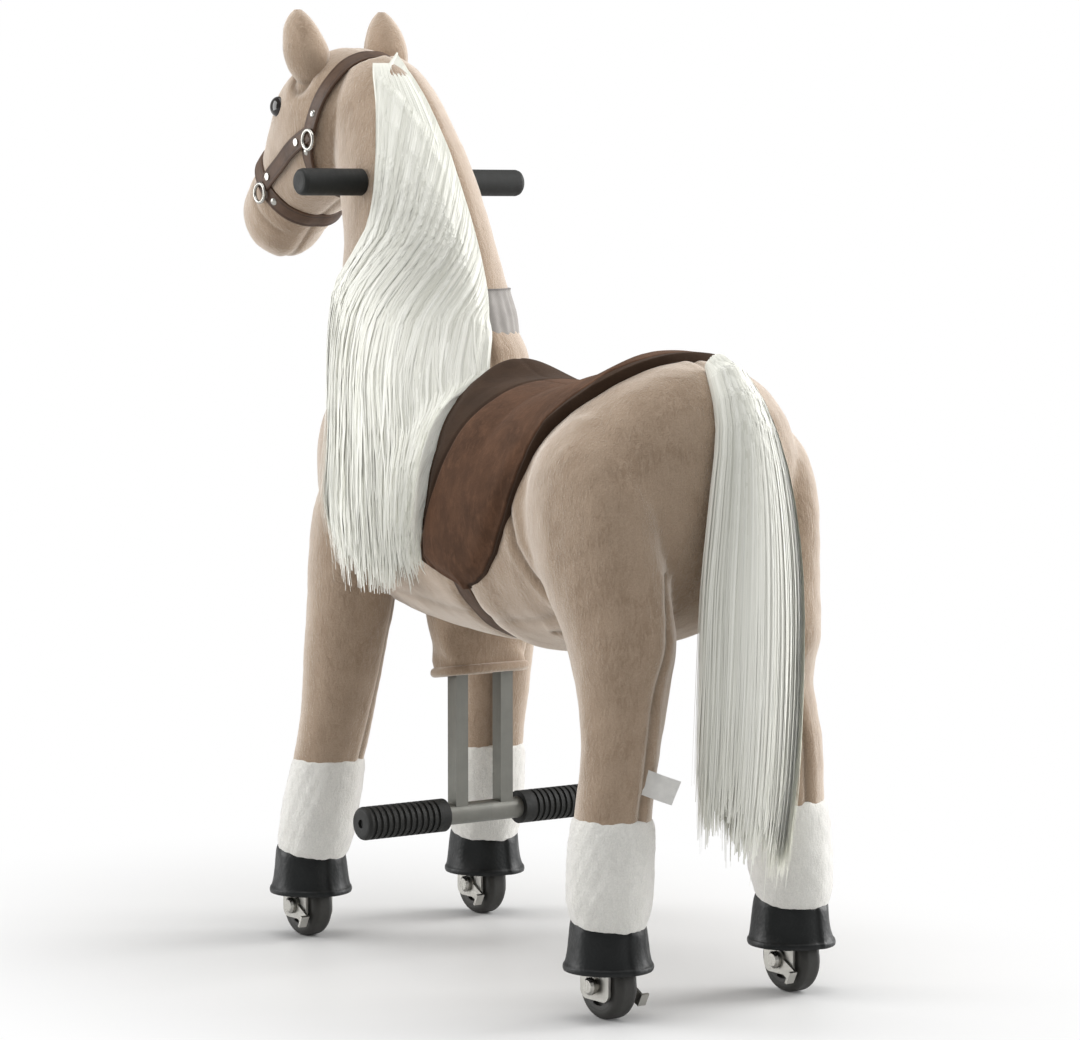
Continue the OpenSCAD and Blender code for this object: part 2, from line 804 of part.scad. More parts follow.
module shaft_bushes(x, z, inside, length) {
    for (side = [1, -1]) difference() {
        y = side > 0 ? inside : -inside - length;
        side_rod(x, y, y + length, z, shaft_eye_d);
        cross_rod(x, z, through_all, shaft_d + 2 * running_gap);
    }
}

module hip_bushes() {
    color("ivory") shaft_bushes(hip_x, hip_z, rail_y, hanger_t);
}

module shoulder_bushes() {
    color("ivory") shaft_bushes(steer_x, swing_z, cheek_inside, cheek_t);
}

module seat_board() {
    slope = atan2(rail_bend_z - rail_z, rail_bend_x - rail_tail_x);
    lift = rail_d / 2 + soft_gap;
    color("burlywood") translate([rail_tail_x, 0, rail_z]) rotate([0, -slope, 0])
        block([board_x - rail_tail_x - board_l / 2, -board_w / 2, lift],
            [board_x - rail_tail_x + board_l / 2, board_w / 2, lift + board_t]);
}

module steering_column() {
    color("dimgray") difference() {
        union() {
            translate([steer_x, 0, crown_bottom]) cylinder(d = column_d, h = stem_z - crown_bottom);
            translate([steer_x, 0, stem_z]) sphere(d = column_d + weld_bead);
            rod([steer_x, 0, stem_z], [bar_x, 0, bar_z], column_d - 4);
            cross_rod(bar_x, bar_z, 24, handlebar_d + 8);
            block([steer_x - cheek_w / 2, -cheek_inside - cheek_t, crown_bottom],
                [steer_x + cheek_w / 2, cheek_inside + cheek_t, crown_bottom + crown_t]);
            both_sides() {
                block([steer_x - cheek_w / 2, cheek_inside, swing_z],
                    [steer_x + cheek_w / 2, cheek_inside + cheek_t, crown_bottom + crown_t]);
                side_rod(steer_x, cheek_inside, cheek_inside + cheek_t, swing_z, shaft_boss_d);
            }
        }
        cross_rod(steer_x, swing_z, through_all, shaft_eye_d);
        cross_rod(bar_x, bar_z, through_all, handlebar_d + 2 * running_gap);
    }
}

module handlebar() {
    color("dimgray") cross_rod(bar_x, bar_z, handlebar_length / 2 - grip_end_t, handlebar_d);
}

// Outline of a grip with a rounded outer end, turned about its axis
module grip(reach, d, rounding) {
    r = d / 2;
    rotate_extrude() polygon([
        [0, 0], [r, 0], [r, reach - rounding], [r - 0.18 * rounding, reach - 0.44 * rounding],
        [r - 0.5 * rounding, reach - 0.13 * rounding], [r - rounding, reach], [0, reach]
    ]);
}

module grip_pair(x, z, length, reach, d, rounding, bar_d, end_t) {
    for (side = [1, -1]) difference() {
        translate([x, side * (length / 2 - reach), z]) rotate([-side * 90, 0, 0]) grip(reach, d, rounding);
        cross_rod(x, z, length / 2 - end_t, bar_d + 2 * running_gap);
    }
}

module handle_grips() {
    color("#222222") grip_pair(bar_x, bar_z, handlebar_length, grip_length, grip_d, grip_rounding, handlebar_d,
        grip_end_t);
}

module footrest_frame() {
    color("lightsteelblue") {
        for (side = [1, -1]) translate([post_x, side * post_y, footrest_z]) translate([-post_side / 2, -post_side / 2, 0])
            cube([post_side, post_side, post_top - footrest_z]);
        cross_rod(post_x, footrest_z, footrest_length / 2 - footrest_grip_end_t, footrest_d);
        cross_rod(post_x, post_pin_z, post_y, pin_d);
    }
}

module footrest_grips() {
    color("#222222") difference() {
        grip_pair(post_x, footrest_z, footrest_length, footrest_grip_length, footrest_grip_d,
            footrest_grip_rounding, footrest_d, footrest_grip_end_t);
        for (side = [1, -1]) translate([post_x, side * footrest_length / 2, footrest_z]) rotate([side * 90, 0, 0])
            translate([0, 0, -1]) cylinder(d = end_hole_d, h = end_hole_depth + 1);
        for (side = [1, -1], rib = [8:7:footrest_grip_length - 12]) {
            y = side * (footrest_length / 2 - rib);
            translate([post_x, y - 1.5, footrest_z]) rotate([-90, 0, 0]) difference() {
                cylinder(d = footrest_grip_d + 2, h = 3);
                translate([0, 0, -1]) cylinder(d = footrest_grip_d - 3, h = 5);
            }
        }
    }
}

// The tie rod has an eye round the ball on the steering axis in front and a clevis on the rear lug
module tie_rod() {
    fork_half = lug_t / 2 + slip_gap;
    fork_wall = 5;
    fork_reach = 16;
    boss_proud = 0.5;
    shank_half = fork_half + fork_wall - boss_proud;
    color("silver") difference() {
        union() {
            rod(rod_rear, rod_front, rod_d);
            cross_rod(rod_pin_x, rod_pin_z, crank_plate_y + crank_plate_t, pin_d);
            translate(rod_front - [0, 0, socket_h / 2]) cylinder(d = rod_eye_d, h = socket_h);
            cross_rod(rod_rear[0], rod_rear[2], fork_half + fork_wall, clevis_h);
            translate(rod_rear) rotate([0, -atan(rod_slope), 0])
                block([0, -shank_half, -clevis_h / 2 + 1], [fork_reach + 14, shank_half, clevis_h / 2 - 1]);
        }
        translate(rod_front - [0, 0, socket_h]) cylinder(d = ball_d + 2 * ball_play, h = 2 * socket_h);
        cross_rod(rod_rear[0], rod_rear[2], through_all, pin_d + 2 * running_gap);
        translate(rod_rear) rotate([0, -atan(rod_slope), 0])
            block([-clevis_h, -fork_half, -clevis_h], [fork_reach, fork_half, clevis_h]);
    }
}

module crank_plate() {
    long = arm_reach / cos(crank_rest) + 8;
    tall = crank_rise / cos(crank_rest) + 8;
    difference() {
        union() {
            cylinder(d = crank_hub_d, h = crank_plate_t);
            rotate([0, 0, crank_rest]) translate([0, -crank_arm_w / 2, 0]) cube([long, crank_arm_w, crank_plate_t]);
            rotate([0, 0, 90 + crank_rest]) translate([0, -crank_arm_w / 2, 0]) cube([tall, crank_arm_w, crank_plate_t]);
        }
        rotate([0, 0, crank_rest]) translate([arm_reach - 6, -(pin_d + slot_air) / 2, -1])
            cube([long, pin_d + slot_air, crank_plate_t + 2]);
        rotate([0, 0, 90 + crank_rest]) translate([crank_rise - 6, -(pin_d + slot_air) / 2, -1])
            cube([tall, pin_d + slot_air, crank_plate_t + 2]);
    }
}

module bell_crank() {
    color("silver") {
        for (side = [0, 1]) translate([crank_x, side ? -crank_plate_y : crank_plate_y + crank_plate_t, crank_z])
            rotate([90, 0, 0]) crank_plate();
        cross_rod(crank_x, crank_z, crank_bracket_y + crank_bracket_t + 2, crank_shaft_d);
    }
}

// Neck, head and halter
neck_line = [
    neck_base, [steer_x + 36, 0, 725, 99, 67, 0, 2], [steer_x + 58, 0, 784, 88, 62, -6, 2],
    [steer_x + 84, 0, 832, 77, 56, -14, 2], [steer_x + 110, 0, 874, 62, 49, -22, 2],
    [steer_x + 124, 0, 900, 38, 36, -28, 2]
];
head_tilt = 49;
function head_station(x, z, depth, width, square) = [steer_x + x, 0, z, depth, width, head_tilt, square];
head_line = [
    head_station(330, 726, 12, 14, 2), head_station(323, 732, 34, 31, 2), head_station(308, 744, 45, 42, 2.1),
    head_station(289, 761, 47, 45, 2.2), head_station(260, 786, 50, 47, 2.3), head_station(225, 815, 62, 57, 2.4),
    head_station(190, 842, 72, 66, 2.5), head_station(158, 865, 70, 64, 2.4), head_station(132, 884, 58, 53, 2.2),
    head_station(112, 899, 34, 34, 2), head_station(105, 905, 14, 14, 2)
];
brow = [steer_x + 172, 47, 888];

// Half width of the head at a place on its side, between the two stations that the place lies between
function down_face(p) = p[0] * sin(head_tilt) - p[2] * cos(head_tilt);
function between(a, b, t) = a + t * (b - a);
function half_width(s, p) = let (a = ((p[0] - s[0]) * cos(head_tilt) + (p[2] - s[2]) * sin(head_tilt)) / s[3])
    abs(a) < 1 ? s[4] * pow(1 - pow(abs(a), s[6]), 1 / s[6]) : 0;
function head_side(p) = max([
    for (i = [0:len(head_line) - 2])
        let (a = down_face(head_line[i]), b = down_face(head_line[i + 1]), t = (down_face(p) - a) / (b - a))
            t < 0 || t > 1 ? 0 : half_width(between(head_line[i], head_line[i + 1], t), p)
]);
function on_head(x, z) = [x, head_side([x, 0, z]), z];

module head_outside(grow) {
    skin(rings(head_line, 1, 20, grow));
}

module neck_outside(grow) {
    skin(rings(neck_line, 1, 24, grow));
}

module neck() {
    color("tan") sewn() difference() {
        neck_outside(0);
        head_outside(soft_gap);
        translate([steer_x, 0, 0]) cylinder(d = column_d + 2 * hole_gap, h = stem_z);
        translate([steer_x, 0, stem_z]) sphere(d = column_d + weld_bead + 2 * hole_gap);
        rod([steer_x, 0, stem_z], [bar_x, 0, bar_z], column_d - 4 + 2 * hole_gap);
        cross_rod(bar_x, bar_z, 24 + soft_gap, handlebar_d + 8 + 2 * soft_gap);
        cross_rod(bar_x, bar_z, through_all, handlebar_d + 2 * soft_gap);
        for (side = [1, -1]) side_rod(bar_x, side > 0 ? grip_start - soft_gap : -through_all,
            side > 0 ? through_all : soft_gap - grip_start, bar_z, grip_d + 2 * grip_room);
    }
}

module head() {
    color("tan") sewn() head_outside(0);
}

ear_line = [
    [brow[0] - 4, brow[1] - 3, brow[2] - 14, 17, 15, 0, 2],
    [brow[0] - 1, brow[1], brow[2] + 0.15 * ear_height, 25, 17, 0, 2],
    [brow[0] + 5, brow[1] + 3, brow[2] + 0.48 * ear_height, 27, 19, 0, 2],
    [brow[0] + 11, brow[1] + 5, brow[2] + 0.8 * ear_height, 17, 13, 0, 2],
    [brow[0] + 13, brow[1] + 6, brow[2] + ear_height, 3, 3, 0, 2]
];

module ears() {
    color("tan") sewn() both_sides() difference() {
        skin(rings(ear_line, 2, 12, 0));
        head_outside(soft_gap);
        neck_outside(soft_gap);
    }
}

eye_d = 24;
eye_sunk = 6;
eye = on_head(steer_x + 213, 866) - [0, eye_sunk, 0];

module eyes() {
    color("black") sewn() both_sides() difference() {
        translate(eye) sphere(d = eye_d);
        head_outside(soft_gap / 2);
    }
}

// A strap is a band of the grown head, between two planes
module strap_skin() {
    difference() {
        head_outside(soft_gap + strap_t);
        head_outside(soft_gap);
    }
}

noseband_at = [steer_x + 262, 0, 784];
cheek_at = [steer_x + 147, 0, 836];
poll_at = [steer_x + 117, 0, 918];

module band_at(place, turn, width) {
    translate(place) rotate([0, turn, 0]) cube([through_all, through_all, width], center = true);
}

module noseband() {
    color("sienna") sewn() intersection() {
        strap_skin();
        band_at(noseband_at, -head_tilt, strap_w);
    }
}

cheek_turn = atan2(noseband_at[2] - cheek_at[2], noseband_at[0] - cheek_at[0]);
cheek_run = norm(noseband_at - cheek_at);

module cheek_straps() {
    color("sienna") sewn() both_sides() difference() {
        intersection() {
            strap_skin();
            translate(cheek_at) rotate([0, -cheek_turn, 0]) translate([0, 20, -strap_w / 2])
                cube([cheek_run, 100, strap_w]);
        }
        band_at(noseband_at, -head_tilt, strap_w + 2 * soft_gap);
        crown_band(strap_w + 2 * soft_gap);
    }
}

crown_turn = atan2(poll_at[0] - cheek_at[0], poll_at[2] - cheek_at[2]);

module crown_band(width) {
    translate(cheek_at) rotate([0, crown_turn, 0]) translate([-width / 2, -through_all / 2, -12])
        cube([width, through_all, 200]);
}

module crown_strap() {
    color("sienna") sewn() difference() {
        intersection() {
            strap_skin();
            crown_band(strap_w);
        }
        neck_outside(soft_gap);
        both_sides() skin(rings(ear_line, 2, 12, soft_gap));
    }
}

module throat_strap() {
    color("sienna") sewn() difference() {
        intersection() {
            strap_skin();
            translate(cheek_at) rotate([0, -20, 0]) translate([-strap_w / 2, -through_all / 2, -200])
                cube([strap_w, through_all, 200 - 14]);
        }
        crown_band(strap_w + 2 * soft_gap);
        translate(cheek_at) rotate([0, -cheek_turn, 0]) translate([0, -through_all / 2, -strap_w / 2 - soft_gap])
            cube([cheek_run, through_all, strap_w + 2 * soft_gap]);
        neck_outside(soft_gap);
    }
}

ring_d = 24;
ring_wire = 4;
function ring_place(x, z) = [x, max([for (a = [0:45:315])
    head_side([x + ring_d / 2 * cos(a), 0, z + ring_d / 2 * sin(a)])]) + strap_t + 2 * soft_gap + ring_wire / 2, z];
nose_ring = ring_place(noseband_at[0] + 2, noseband_at[2] - 9);
cheek_ring = ring_place(cheek_at[0] - 4, cheek_at[2] - 6);

module halter_rings() {
    color("silver") both_sides() for (place = [nose_ring, cheek_ring]) translate(place) rotate([90, 0, 0])
        rotate_extrude() translate([ring_d / 2 - ring_wire / 2, 0]) circle(d = ring_wire);
}

rivet_d = 8;
rivet_t = 2.5;

module halter_rivets() {
    color("silver") both_sides() {
        for (share = [0.16, 0.84]) {
            place = cheek_at + share * (noseband_at - cheek_at);
            translate(on_head(place[0], place[2]) + [0, strap_t + 3 * soft_gap, 0])
                rotate([-90, 0, 0]) cylinder(d = rivet_d, h = rivet_t);
        }
    }
}

// Mane. A row gives height, oval centre, half depth, half width and the angles of its rear and front edges.
mane_rows = [
    [902, steer_x + 106, 46, 44, 176, 122], [862, steer_x + 98, 72, 54, 176, 117], [800, steer_x + 66, 89, 64, 176, 111],
    [735, steer_x + 38, 99, 69, 176, 104], [680, steer_x + 26, 112, 74, 176, 92], [640, steer_x + 8, 118, 92, 168, 82],
    [590, steer_x - 20, 116, 116, 158, 72], [530, steer_x - 46, 116, 132, 156, 64], [470, steer_x - 54, 116, 138, 158, 64],
    [432, steer_x - 55, 104, 139, 154, 68], [408, steer_x - 55, 88, 138, 146, 74]
];
mane_split = collar_top + 0.2;
mane_t = 10;
mane_locks = 5;
mane_columns = 15;

// Half width of the torso at a place on its side. The mane hangs clear of it.
function torso_side(x, z) = max([
    for (i = [0:len(torso_line) - 2])
        let (a = torso_line[i], b = torso_line[i + 1], t = (x - a[0]) / (b[0] - a[0]))
            t < 0 || t > 1 ? 0 : let (s = between(a, b, t), h = abs(z - s[2]) / s[3])
                h < 1 ? s[4] * pow(1 - pow(h, s[6]), 1 / s[6]) : 0
]);
function mane_row(r, lift) = [
    for (k = [0:mane_columns])
        let (s = k / mane_columns, a = r[4] + s * (r[5] - r[4]),
            wave = lift > 3 ? 2.5 * cos(360 * mane_locks * s) : 0,
            droop = r[0] < 420 ? 16 * pow(sin(180 * mane_locks * s), 2) : 0,
            x = r[1] + (r[2] + lift + wave) * cos(a))
            [x, max((r[3] + lift + wave) * sin(a), torso_side(x, r[0] + droop) + lift + wave), r[0] + droop]
];
function mane_ring(r, lift) = concat(mane_row(r, lift), [
    for (k = [mane_columns:-1:0]) mane_row(r, lift + mane_t)[k]
]);

module mane_slab() {
    rows = stations(mane_rows, 1);
    skin([for (i = [len(rows) - 1:-1:0]) mane_ring(rows[i], 1)]);
}

module mane_crest() {
    color("ivory") sewn() difference() {
        intersection() {
            mane_slab();
            block([-through_all, -200, mane_split + soft_gap], [2 * through_all, 300, 1000]);
        }
        neck_outside(soft_gap);
        head_outside(soft_gap + strap_t + soft_gap);
        both_sides() skin(rings(ear_line, 2, 12, soft_gap));
        cross_rod(bar_x, bar_z, through_all, grip_d + 2 * grip_room);
        skin(rings(gaiter_line, 2, 24, soft_gap));
    }
}

module mane_fall() {
    color("ivory") sewn() difference() {
        intersection() {
            mane_slab();
            block([-through_all, -200, 0], [2 * through_all, 300, mane_split]);
        }
        torso_outside(soft_gap);
        saddle_shape(soft_gap);
        skin(rings(shoulder_line, 1, 18, soft_gap));
        skin(rings(gaiter_line, 2, 24, soft_gap));
    }
}

// Tail. A station gives height below the root, distance behind the hip, sideways place, half depth and half width.
tail_root = 612;
function lock(drop, back, out, depth, width) = [hip_x - back, out, tail_root - drop, depth, width, 0, 2.2];
tail_line = [
    lock(tail_length, 104, 0, 5, 30), lock(tail_length - 20, 105, -1, 12, 44), lock(0.84 * tail_length, 107, -4, 18, 52),
    lock(0.64 * tail_length, 110, -7, 20, 55), lock(0.44 * tail_length, 112, -9, 20, 56),
    lock(0.26 * tail_length, 113, -8, 19, 47), lock(0.13 * tail_length, 108, -6, 18, 32), lock(24, 90, -3, 20, 22),
    lock(4, 72, 0, 16, 15), lock(0, 64, 0, 8, 8)
];

module tail() {
    color("ivory") sewn() difference() {
        skin(rings(tail_line, 1, 16, 0));
        torso_outside(soft_gap);
    }
}

// The origin is moved under the middle of the box, from the nose to the tail
nose_reach = max([for (p = all_points(rings(head_line, 1, 20, 0))) p[0]]);
tail_reach = min([for (p = all_points(rings(tail_line, 1, 16, 0))) p[0]]);

module placed() {
    translate([-(nose_reach + tail_reach) / 2, 0, 0]) children();
}

placed() {
    spine_frame();
    steering_bushes();
    guide_bushes();
    hip_bushes();
    seat_board();
    torso();
    saddle();
    girth_strap();
    footrest_sleeve();
    neck_gaiter();
    mane_fall();
    tail();
    left_shoulder();
    right_shoulder();
    steering_column();
    shoulder_bushes();
    handlebar();
    handle_grips();
    neck();
    head();
    ears();
    eyes();
    crown_strap();
    cheek_straps();
    noseband();
    throat_strap();
    halter_rings();
    halter_rivets();
    mane_crest();
    front_leg_frame();
    front_left_leg();
    front_right_leg();
    front_socks();
    front_hooves();
    front_forks();
    front_axles();
    rear_leg_frame();
    rear_left_leg();
    rear_right_leg();
    rear_socks();
    rear_hooves();
    rear_forks();
    rear_axles();
    tie_rod();
    bell_crank();
    footrest_frame();
    footrest_grips();
    front_left_wheel();
    front_right_wheel();
    rear_left_wheel();
    rear_right_wheel();
    front_left_tyre();
    front_right_tyre();
    rear_left_tyre();
    rear_right_tyre();
    front_left_lever();
    front_right_lever();
    rear_left_lever();
    rear_right_lever();
}
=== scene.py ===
"""Looks of a plush ride-on horse: plush skins, long hair, suede saddle, leather halter, hooves and a studio."""
import json
import math

import bmesh
import bpy
import numpy as np
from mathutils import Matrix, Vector
from mathutils.bvhtree import BVHTree


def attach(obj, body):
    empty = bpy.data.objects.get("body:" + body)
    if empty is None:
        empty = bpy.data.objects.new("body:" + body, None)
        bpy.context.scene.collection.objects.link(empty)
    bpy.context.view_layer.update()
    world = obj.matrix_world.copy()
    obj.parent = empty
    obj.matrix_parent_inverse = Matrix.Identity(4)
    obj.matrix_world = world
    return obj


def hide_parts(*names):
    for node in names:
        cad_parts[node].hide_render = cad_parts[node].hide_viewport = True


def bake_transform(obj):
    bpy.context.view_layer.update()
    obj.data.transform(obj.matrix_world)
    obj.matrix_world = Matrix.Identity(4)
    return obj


bl_info = {
    "name": "Plush Ride-On Horse",
    "version": (1, 0, 0),
    "blender": (4, 5, 0),
    "location": "View3D > Sidebar > Horse",
    "description": "Dresses the frame of a ride-on horse in plush, hair, suede and leather",
    "category": "Add Mesh",
}

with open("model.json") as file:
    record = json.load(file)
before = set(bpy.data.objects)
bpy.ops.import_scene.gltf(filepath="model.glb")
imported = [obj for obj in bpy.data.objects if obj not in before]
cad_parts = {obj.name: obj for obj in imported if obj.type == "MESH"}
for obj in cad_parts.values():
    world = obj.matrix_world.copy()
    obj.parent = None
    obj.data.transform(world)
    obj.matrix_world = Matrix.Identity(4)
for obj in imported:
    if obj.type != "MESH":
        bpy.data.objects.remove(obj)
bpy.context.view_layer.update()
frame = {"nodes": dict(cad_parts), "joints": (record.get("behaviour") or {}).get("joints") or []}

# Places from the frame, in millimetres
MM = 0.001
JOINTS = {joint["name"]: joint for joint in frame["joints"]}


def pivot(joint):
    """Place of a joint in millimetres."""
    return np.array(JOINTS[joint]["pos_m"], float) / MM


SHOULDER = pivot("front_leg_swing")
HIP = pivot("rear_leg_swing")
FRONT_AXLE = pivot("front_left_wheel_roll")
REAR_AXLE = pivot("rear_left_wheel_roll")
STEER_X = SHOULDER[0]
HIP_X = HIP[0]
WHEEL_Y = FRONT_AXLE[1]
LEG_INSET = 27.0
SOCK_TOP = 186.0
HOOF_TOP = 88.0
HOOF_HEM = 47.0
TRUNK_SQUARE = 2.2


def along(share):
    """X of a place that is a share of the way from the hip to the shoulder."""
    return HIP_X + share * (STEER_X - HIP_X)


# Stations of the stuffed forms: x, y, z, half depth, half width, tilt of the depth line, squareness
def barrel(share, top, bottom, half_width):
    """A station of the trunk, upright and across the length."""
    return (along(share), 0, (top + bottom) / 2, (top - bottom) / 2, half_width, 90, TRUNK_SQUARE)


def foreleg(z, share, depth, width):
    """A level station of the front left leg, which leans from the axle to the shoulder."""
    x = FRONT_AXLE[0] + share * (STEER_X - FRONT_AXLE[0])
    return (x, WHEEL_Y - LEG_INSET * share, z, depth, width, 0, 2)


def hindleg(z, back, depth, width, inward):
    """A level station of the rear left leg."""
    return (REAR_AXLE[0] - back, WHEEL_Y - inward, z, depth, width, 0, 2)


def neck_ring(x, z, depth, width, tilt=0):
    """A round station of the neck, so far in front of the steering axis."""
    return (STEER_X + x, 0, z, depth, width, tilt, 2)


TRUNK = [
    barrel(1.285, 540, 470, 36), barrel(1.255, 578, 430, 76), barrel(1.18, 602, 386, 104),
    barrel(1.06, 607, 353, 120), barrel(0.92, 603, 339, 124), barrel(0.75, 592, 331, 127),
    barrel(0.545, 580, 327, 130), barrel(0.355, 575, 326, 132), barrel(0.165, 592, 332, 131),
    barrel(0.012, 612, 345, 128), barrel(-0.12, 610, 372, 114), barrel(-0.2, 586, 418, 84),
    barrel(-0.235, 550, 468, 40),
]
NECK_STUMP = [
    neck_ring(20, 535, 78, 92), neck_ring(17, 590, 114, 100), neck_ring(20, 632, 108, 87), neck_ring(20, 641, 96, 76),
]
FORELEG = [
    foreleg(174, 0.30, 35, 35), foreleg(SOCK_TOP, 0.32, 36, 36), foreleg(250, 0.49, 39, 38),
    foreleg(304, 0.59, 44, 41), foreleg(357, 0.69, 49, 44), foreleg(400, 0.76, 54, 46),
    foreleg(450, 0.87, 60, 45), (STEER_X, 77, 500, 58, 42, 0, 2), (STEER_X, 65, 545, 36, 26, 0, 2),
]
HINDLEG = [
    hindleg(174, -2, 36, 36, 5), hindleg(SOCK_TOP, -2, 37, 37, 6), hindleg(248, 2, 37, 37, 12),
    hindleg(303, -9, 44, 43, 23), hindleg(350, -11, 58, 47, 23), hindleg(400, -30, 72, 50, 20),
    hindleg(445, -43, 82, 50, 16), hindleg(490, -47, 80, 49, 15), hindleg(530, -48, 64, 43, 18),
    hindleg(563, -48, 32, 24, 24),
]
NECK = [
    neck_ring(25, 664, 100, 80), neck_ring(25, 669, 101, 81), neck_ring(36, 725, 99, 67),
    neck_ring(58, 784, 88, 62, -6), neck_ring(84, 832, 77, 56, -14), neck_ring(110, 874, 62, 49, -22),
    neck_ring(124, 900, 38, 36, -28),
]
HEAD_TILT = 49.0


def face(x, z, depth, width, square):
    """A station of the head, square to the line of the face."""
    return (STEER_X + x, 0, z, depth, width, HEAD_TILT, square)


HEAD = [
    face(330, 726, 12, 14, 2), face(323, 732, 34, 31, 2), face(308, 744, 45, 42, 2.1),
    face(289, 761, 47, 45, 2.2), face(260, 786, 50, 47, 2.3), face(225, 815, 62, 57, 2.4),
    face(190, 842, 72, 66, 2.5), face(158, 865, 70, 64, 2.4), face(132, 884, 58, 53, 2.2),
    face(112, 899, 34, 34, 2), face(105, 905, 14, 14, 2),
]
BROW = np.array([STEER_X + 172, 47, 888])
EAR_HEIGHT = 80.0
EAR_ROOT = 17.0


# Properties
def colour_property(name, description, default):
    """A colour that a user may change."""
    return bpy.props.FloatVectorProperty(
        name=name, description=description, default=default, size=3, min=0, max=1, subtype="COLOR")


class HorsePlush(bpy.types.PropertyGroup):
    """Plush skins and socks."""
    coat: colour_property("Coat", "Tan pile of the coat", (0.400, 0.302, 0.222))
    coat_shade: colour_property("Coat shade", "Pile that lies the other way", (0.285, 0.205, 0.142))
    sock: colour_property("Socks", "White pile above the hooves", (0.78, 0.77, 0.73))
    voxel: bpy.props.FloatProperty(
        name="Voxel", description="Mesh size at which the stuffed forms are joined", default=0.005, unit="LENGTH")
    seam_depth: bpy.props.FloatProperty(
        name="Seam depth", description="How far a seam pulls the plush in", default=0.0032, unit="LENGTH")
    ear_fill: bpy.props.FloatProperty(
        name="Ear fill", description="How full the ears are, from slack to tight", default=0.5, min=0, max=1)


class HorseHair(bpy.types.PropertyGroup):
    """Mane and tail."""
    tint: colour_property("Hair", "Ivory hair", (0.96, 0.96, 0.89))
    shade: colour_property("Hair shade", "Hair in the depth of the locks", (0.50, 0.50, 0.42))
    mane_locks: bpy.props.IntProperty(name="Mane locks", description="Locks in each layer of the mane", default=2400)
    tail_locks: bpy.props.IntProperty(name="Tail locks", description="Locks in each layer of the tail", default=2300)
    lock_width: bpy.props.FloatProperty(
        name="Lock width", description="Width of a lock of hair", default=0.0034, unit="LENGTH")


class HorseTack(bpy.types.PropertyGroup):
    """Saddle, halter and hooves."""
    suede: colour_property("Suede", "Saddle panels", (0.088, 0.044, 0.025))
    binding: colour_property("Binding", "Front panel and bound edge of the saddle", (0.040, 0.023, 0.014))
    strap: colour_property("Strap", "Halter and girth leather", (0.082, 0.047, 0.029))
    hoof: colour_property("Hoof", "Black hoof leather", (0.0046, 0.0058, 0.0060))
    strap_width: bpy.props.FloatProperty(
        name="Strap width", description="Width of the halter's straps", default=0.019, unit="LENGTH")


class HorseStudio(bpy.types.PropertyGroup):
    """Camera and light."""
    eye: bpy.props.FloatVectorProperty(
        name="Eye", description="Place of the camera", default=(-3.219, 2.2582, 0.7516), size=3, subtype="XYZ")
    aim: bpy.props.FloatVectorProperty(
        name="Aim", description="Point in the middle of the picture", default=(-0.0883, 0.0, 0.4469), size=3,
        subtype="XYZ")
    lens: bpy.props.FloatProperty(
        name="Lens", description="Focal length on a 36 mm sensor", default=128.98, unit="CAMERA")


GROUPS = {"horse_plush": HorsePlush, "horse_hair": HorseHair, "horse_tack": HorseTack, "horse_studio": HorseStudio}


# Surfaces as arrays
def stations(rows, steps):
    """Stations with steps on each stretch, on a cubic through them whose slope at a station is that of its two
    neighbours."""
    rows = np.asarray(rows, float)
    spread = np.vstack([rows[:1], rows, rows[-1:]])
    p, q, r, s = (spread[k:k + len(rows) - 1, None] for k in range(4))
    t = np.linspace(0, 1, steps, endpoint=False)[None, :, None]
    line = q + 0.5 * ((r - p) * t + (2 * p - 5 * q + 4 * r - s) * t ** 2 + (3 * q - p - 3 * r + s) * t ** 3)
    return np.vstack([line.reshape(-1, rows.shape[1]), rows[-1:]])


def table_value(table, at):
    """The value of a table of pairs at a place, on straight lines between its rows."""
    return np.interp(at, *np.array(table).T)


def unit(vectors):
    """Vectors made one long."""
    return vectors / np.maximum(np.linalg.norm(vectors, axis=-1, keepdims=True), 1e-9)


def signed_power(value, power):
    """A number raised to a power with its sign kept."""
    return np.sign(value) * np.abs(value) ** power


def ovals(rows, angles):
    """Rounded ovals on stations: the centre, plus half depth times cosine along the depth line, plus half width times
    sine along y. Cosine and sine are raised to 2 / squareness."""
    x, y, z, depth, width, tilt, square = np.asarray(rows, float).T
    power = (2 / square)[:, None]
    out = signed_power(np.cos(angles), power) * depth[:, None]
    side = signed_power(np.sin(angles), power) * width[:, None]
    lean = np.radians(tilt)[:, None]
    return np.stack([x[:, None] + out * np.cos(lean), y[:, None] + side, z[:, None] + out * np.sin(lean)], axis=-1)


def whole_turn(sides):
    """Angles of a closed ring."""
    return np.linspace(0, 2 * np.pi, sides, endpoint=False)


def loft(rows, steps, sides):
    """Rings of a stuffed form, on a smooth line through its stations."""
    return ovals(stations(rows, steps), whole_turn(sides))


def level_normals(rings):
    """Level unit vectors from the middle of each ring to its points."""
    out = rings - rings.mean(axis=1, keepdims=True)
    out[..., 2] = 0
    return unit(out)


def grid_quads(rows, columns, around=True):
    """Quads of a grid of points, joined round its columns or open."""
    last = columns if around else columns - 1
    row, column = np.meshgrid(np.arange(rows - 1), np.arange(last), indexing="ij")
    following = (column + 1) % columns
    corners = [row * columns + column, row * columns + following,
               (row + 1) * columns + following, (row + 1) * columns + column]
    return np.stack(corners, axis=-1).reshape(-1, 4)


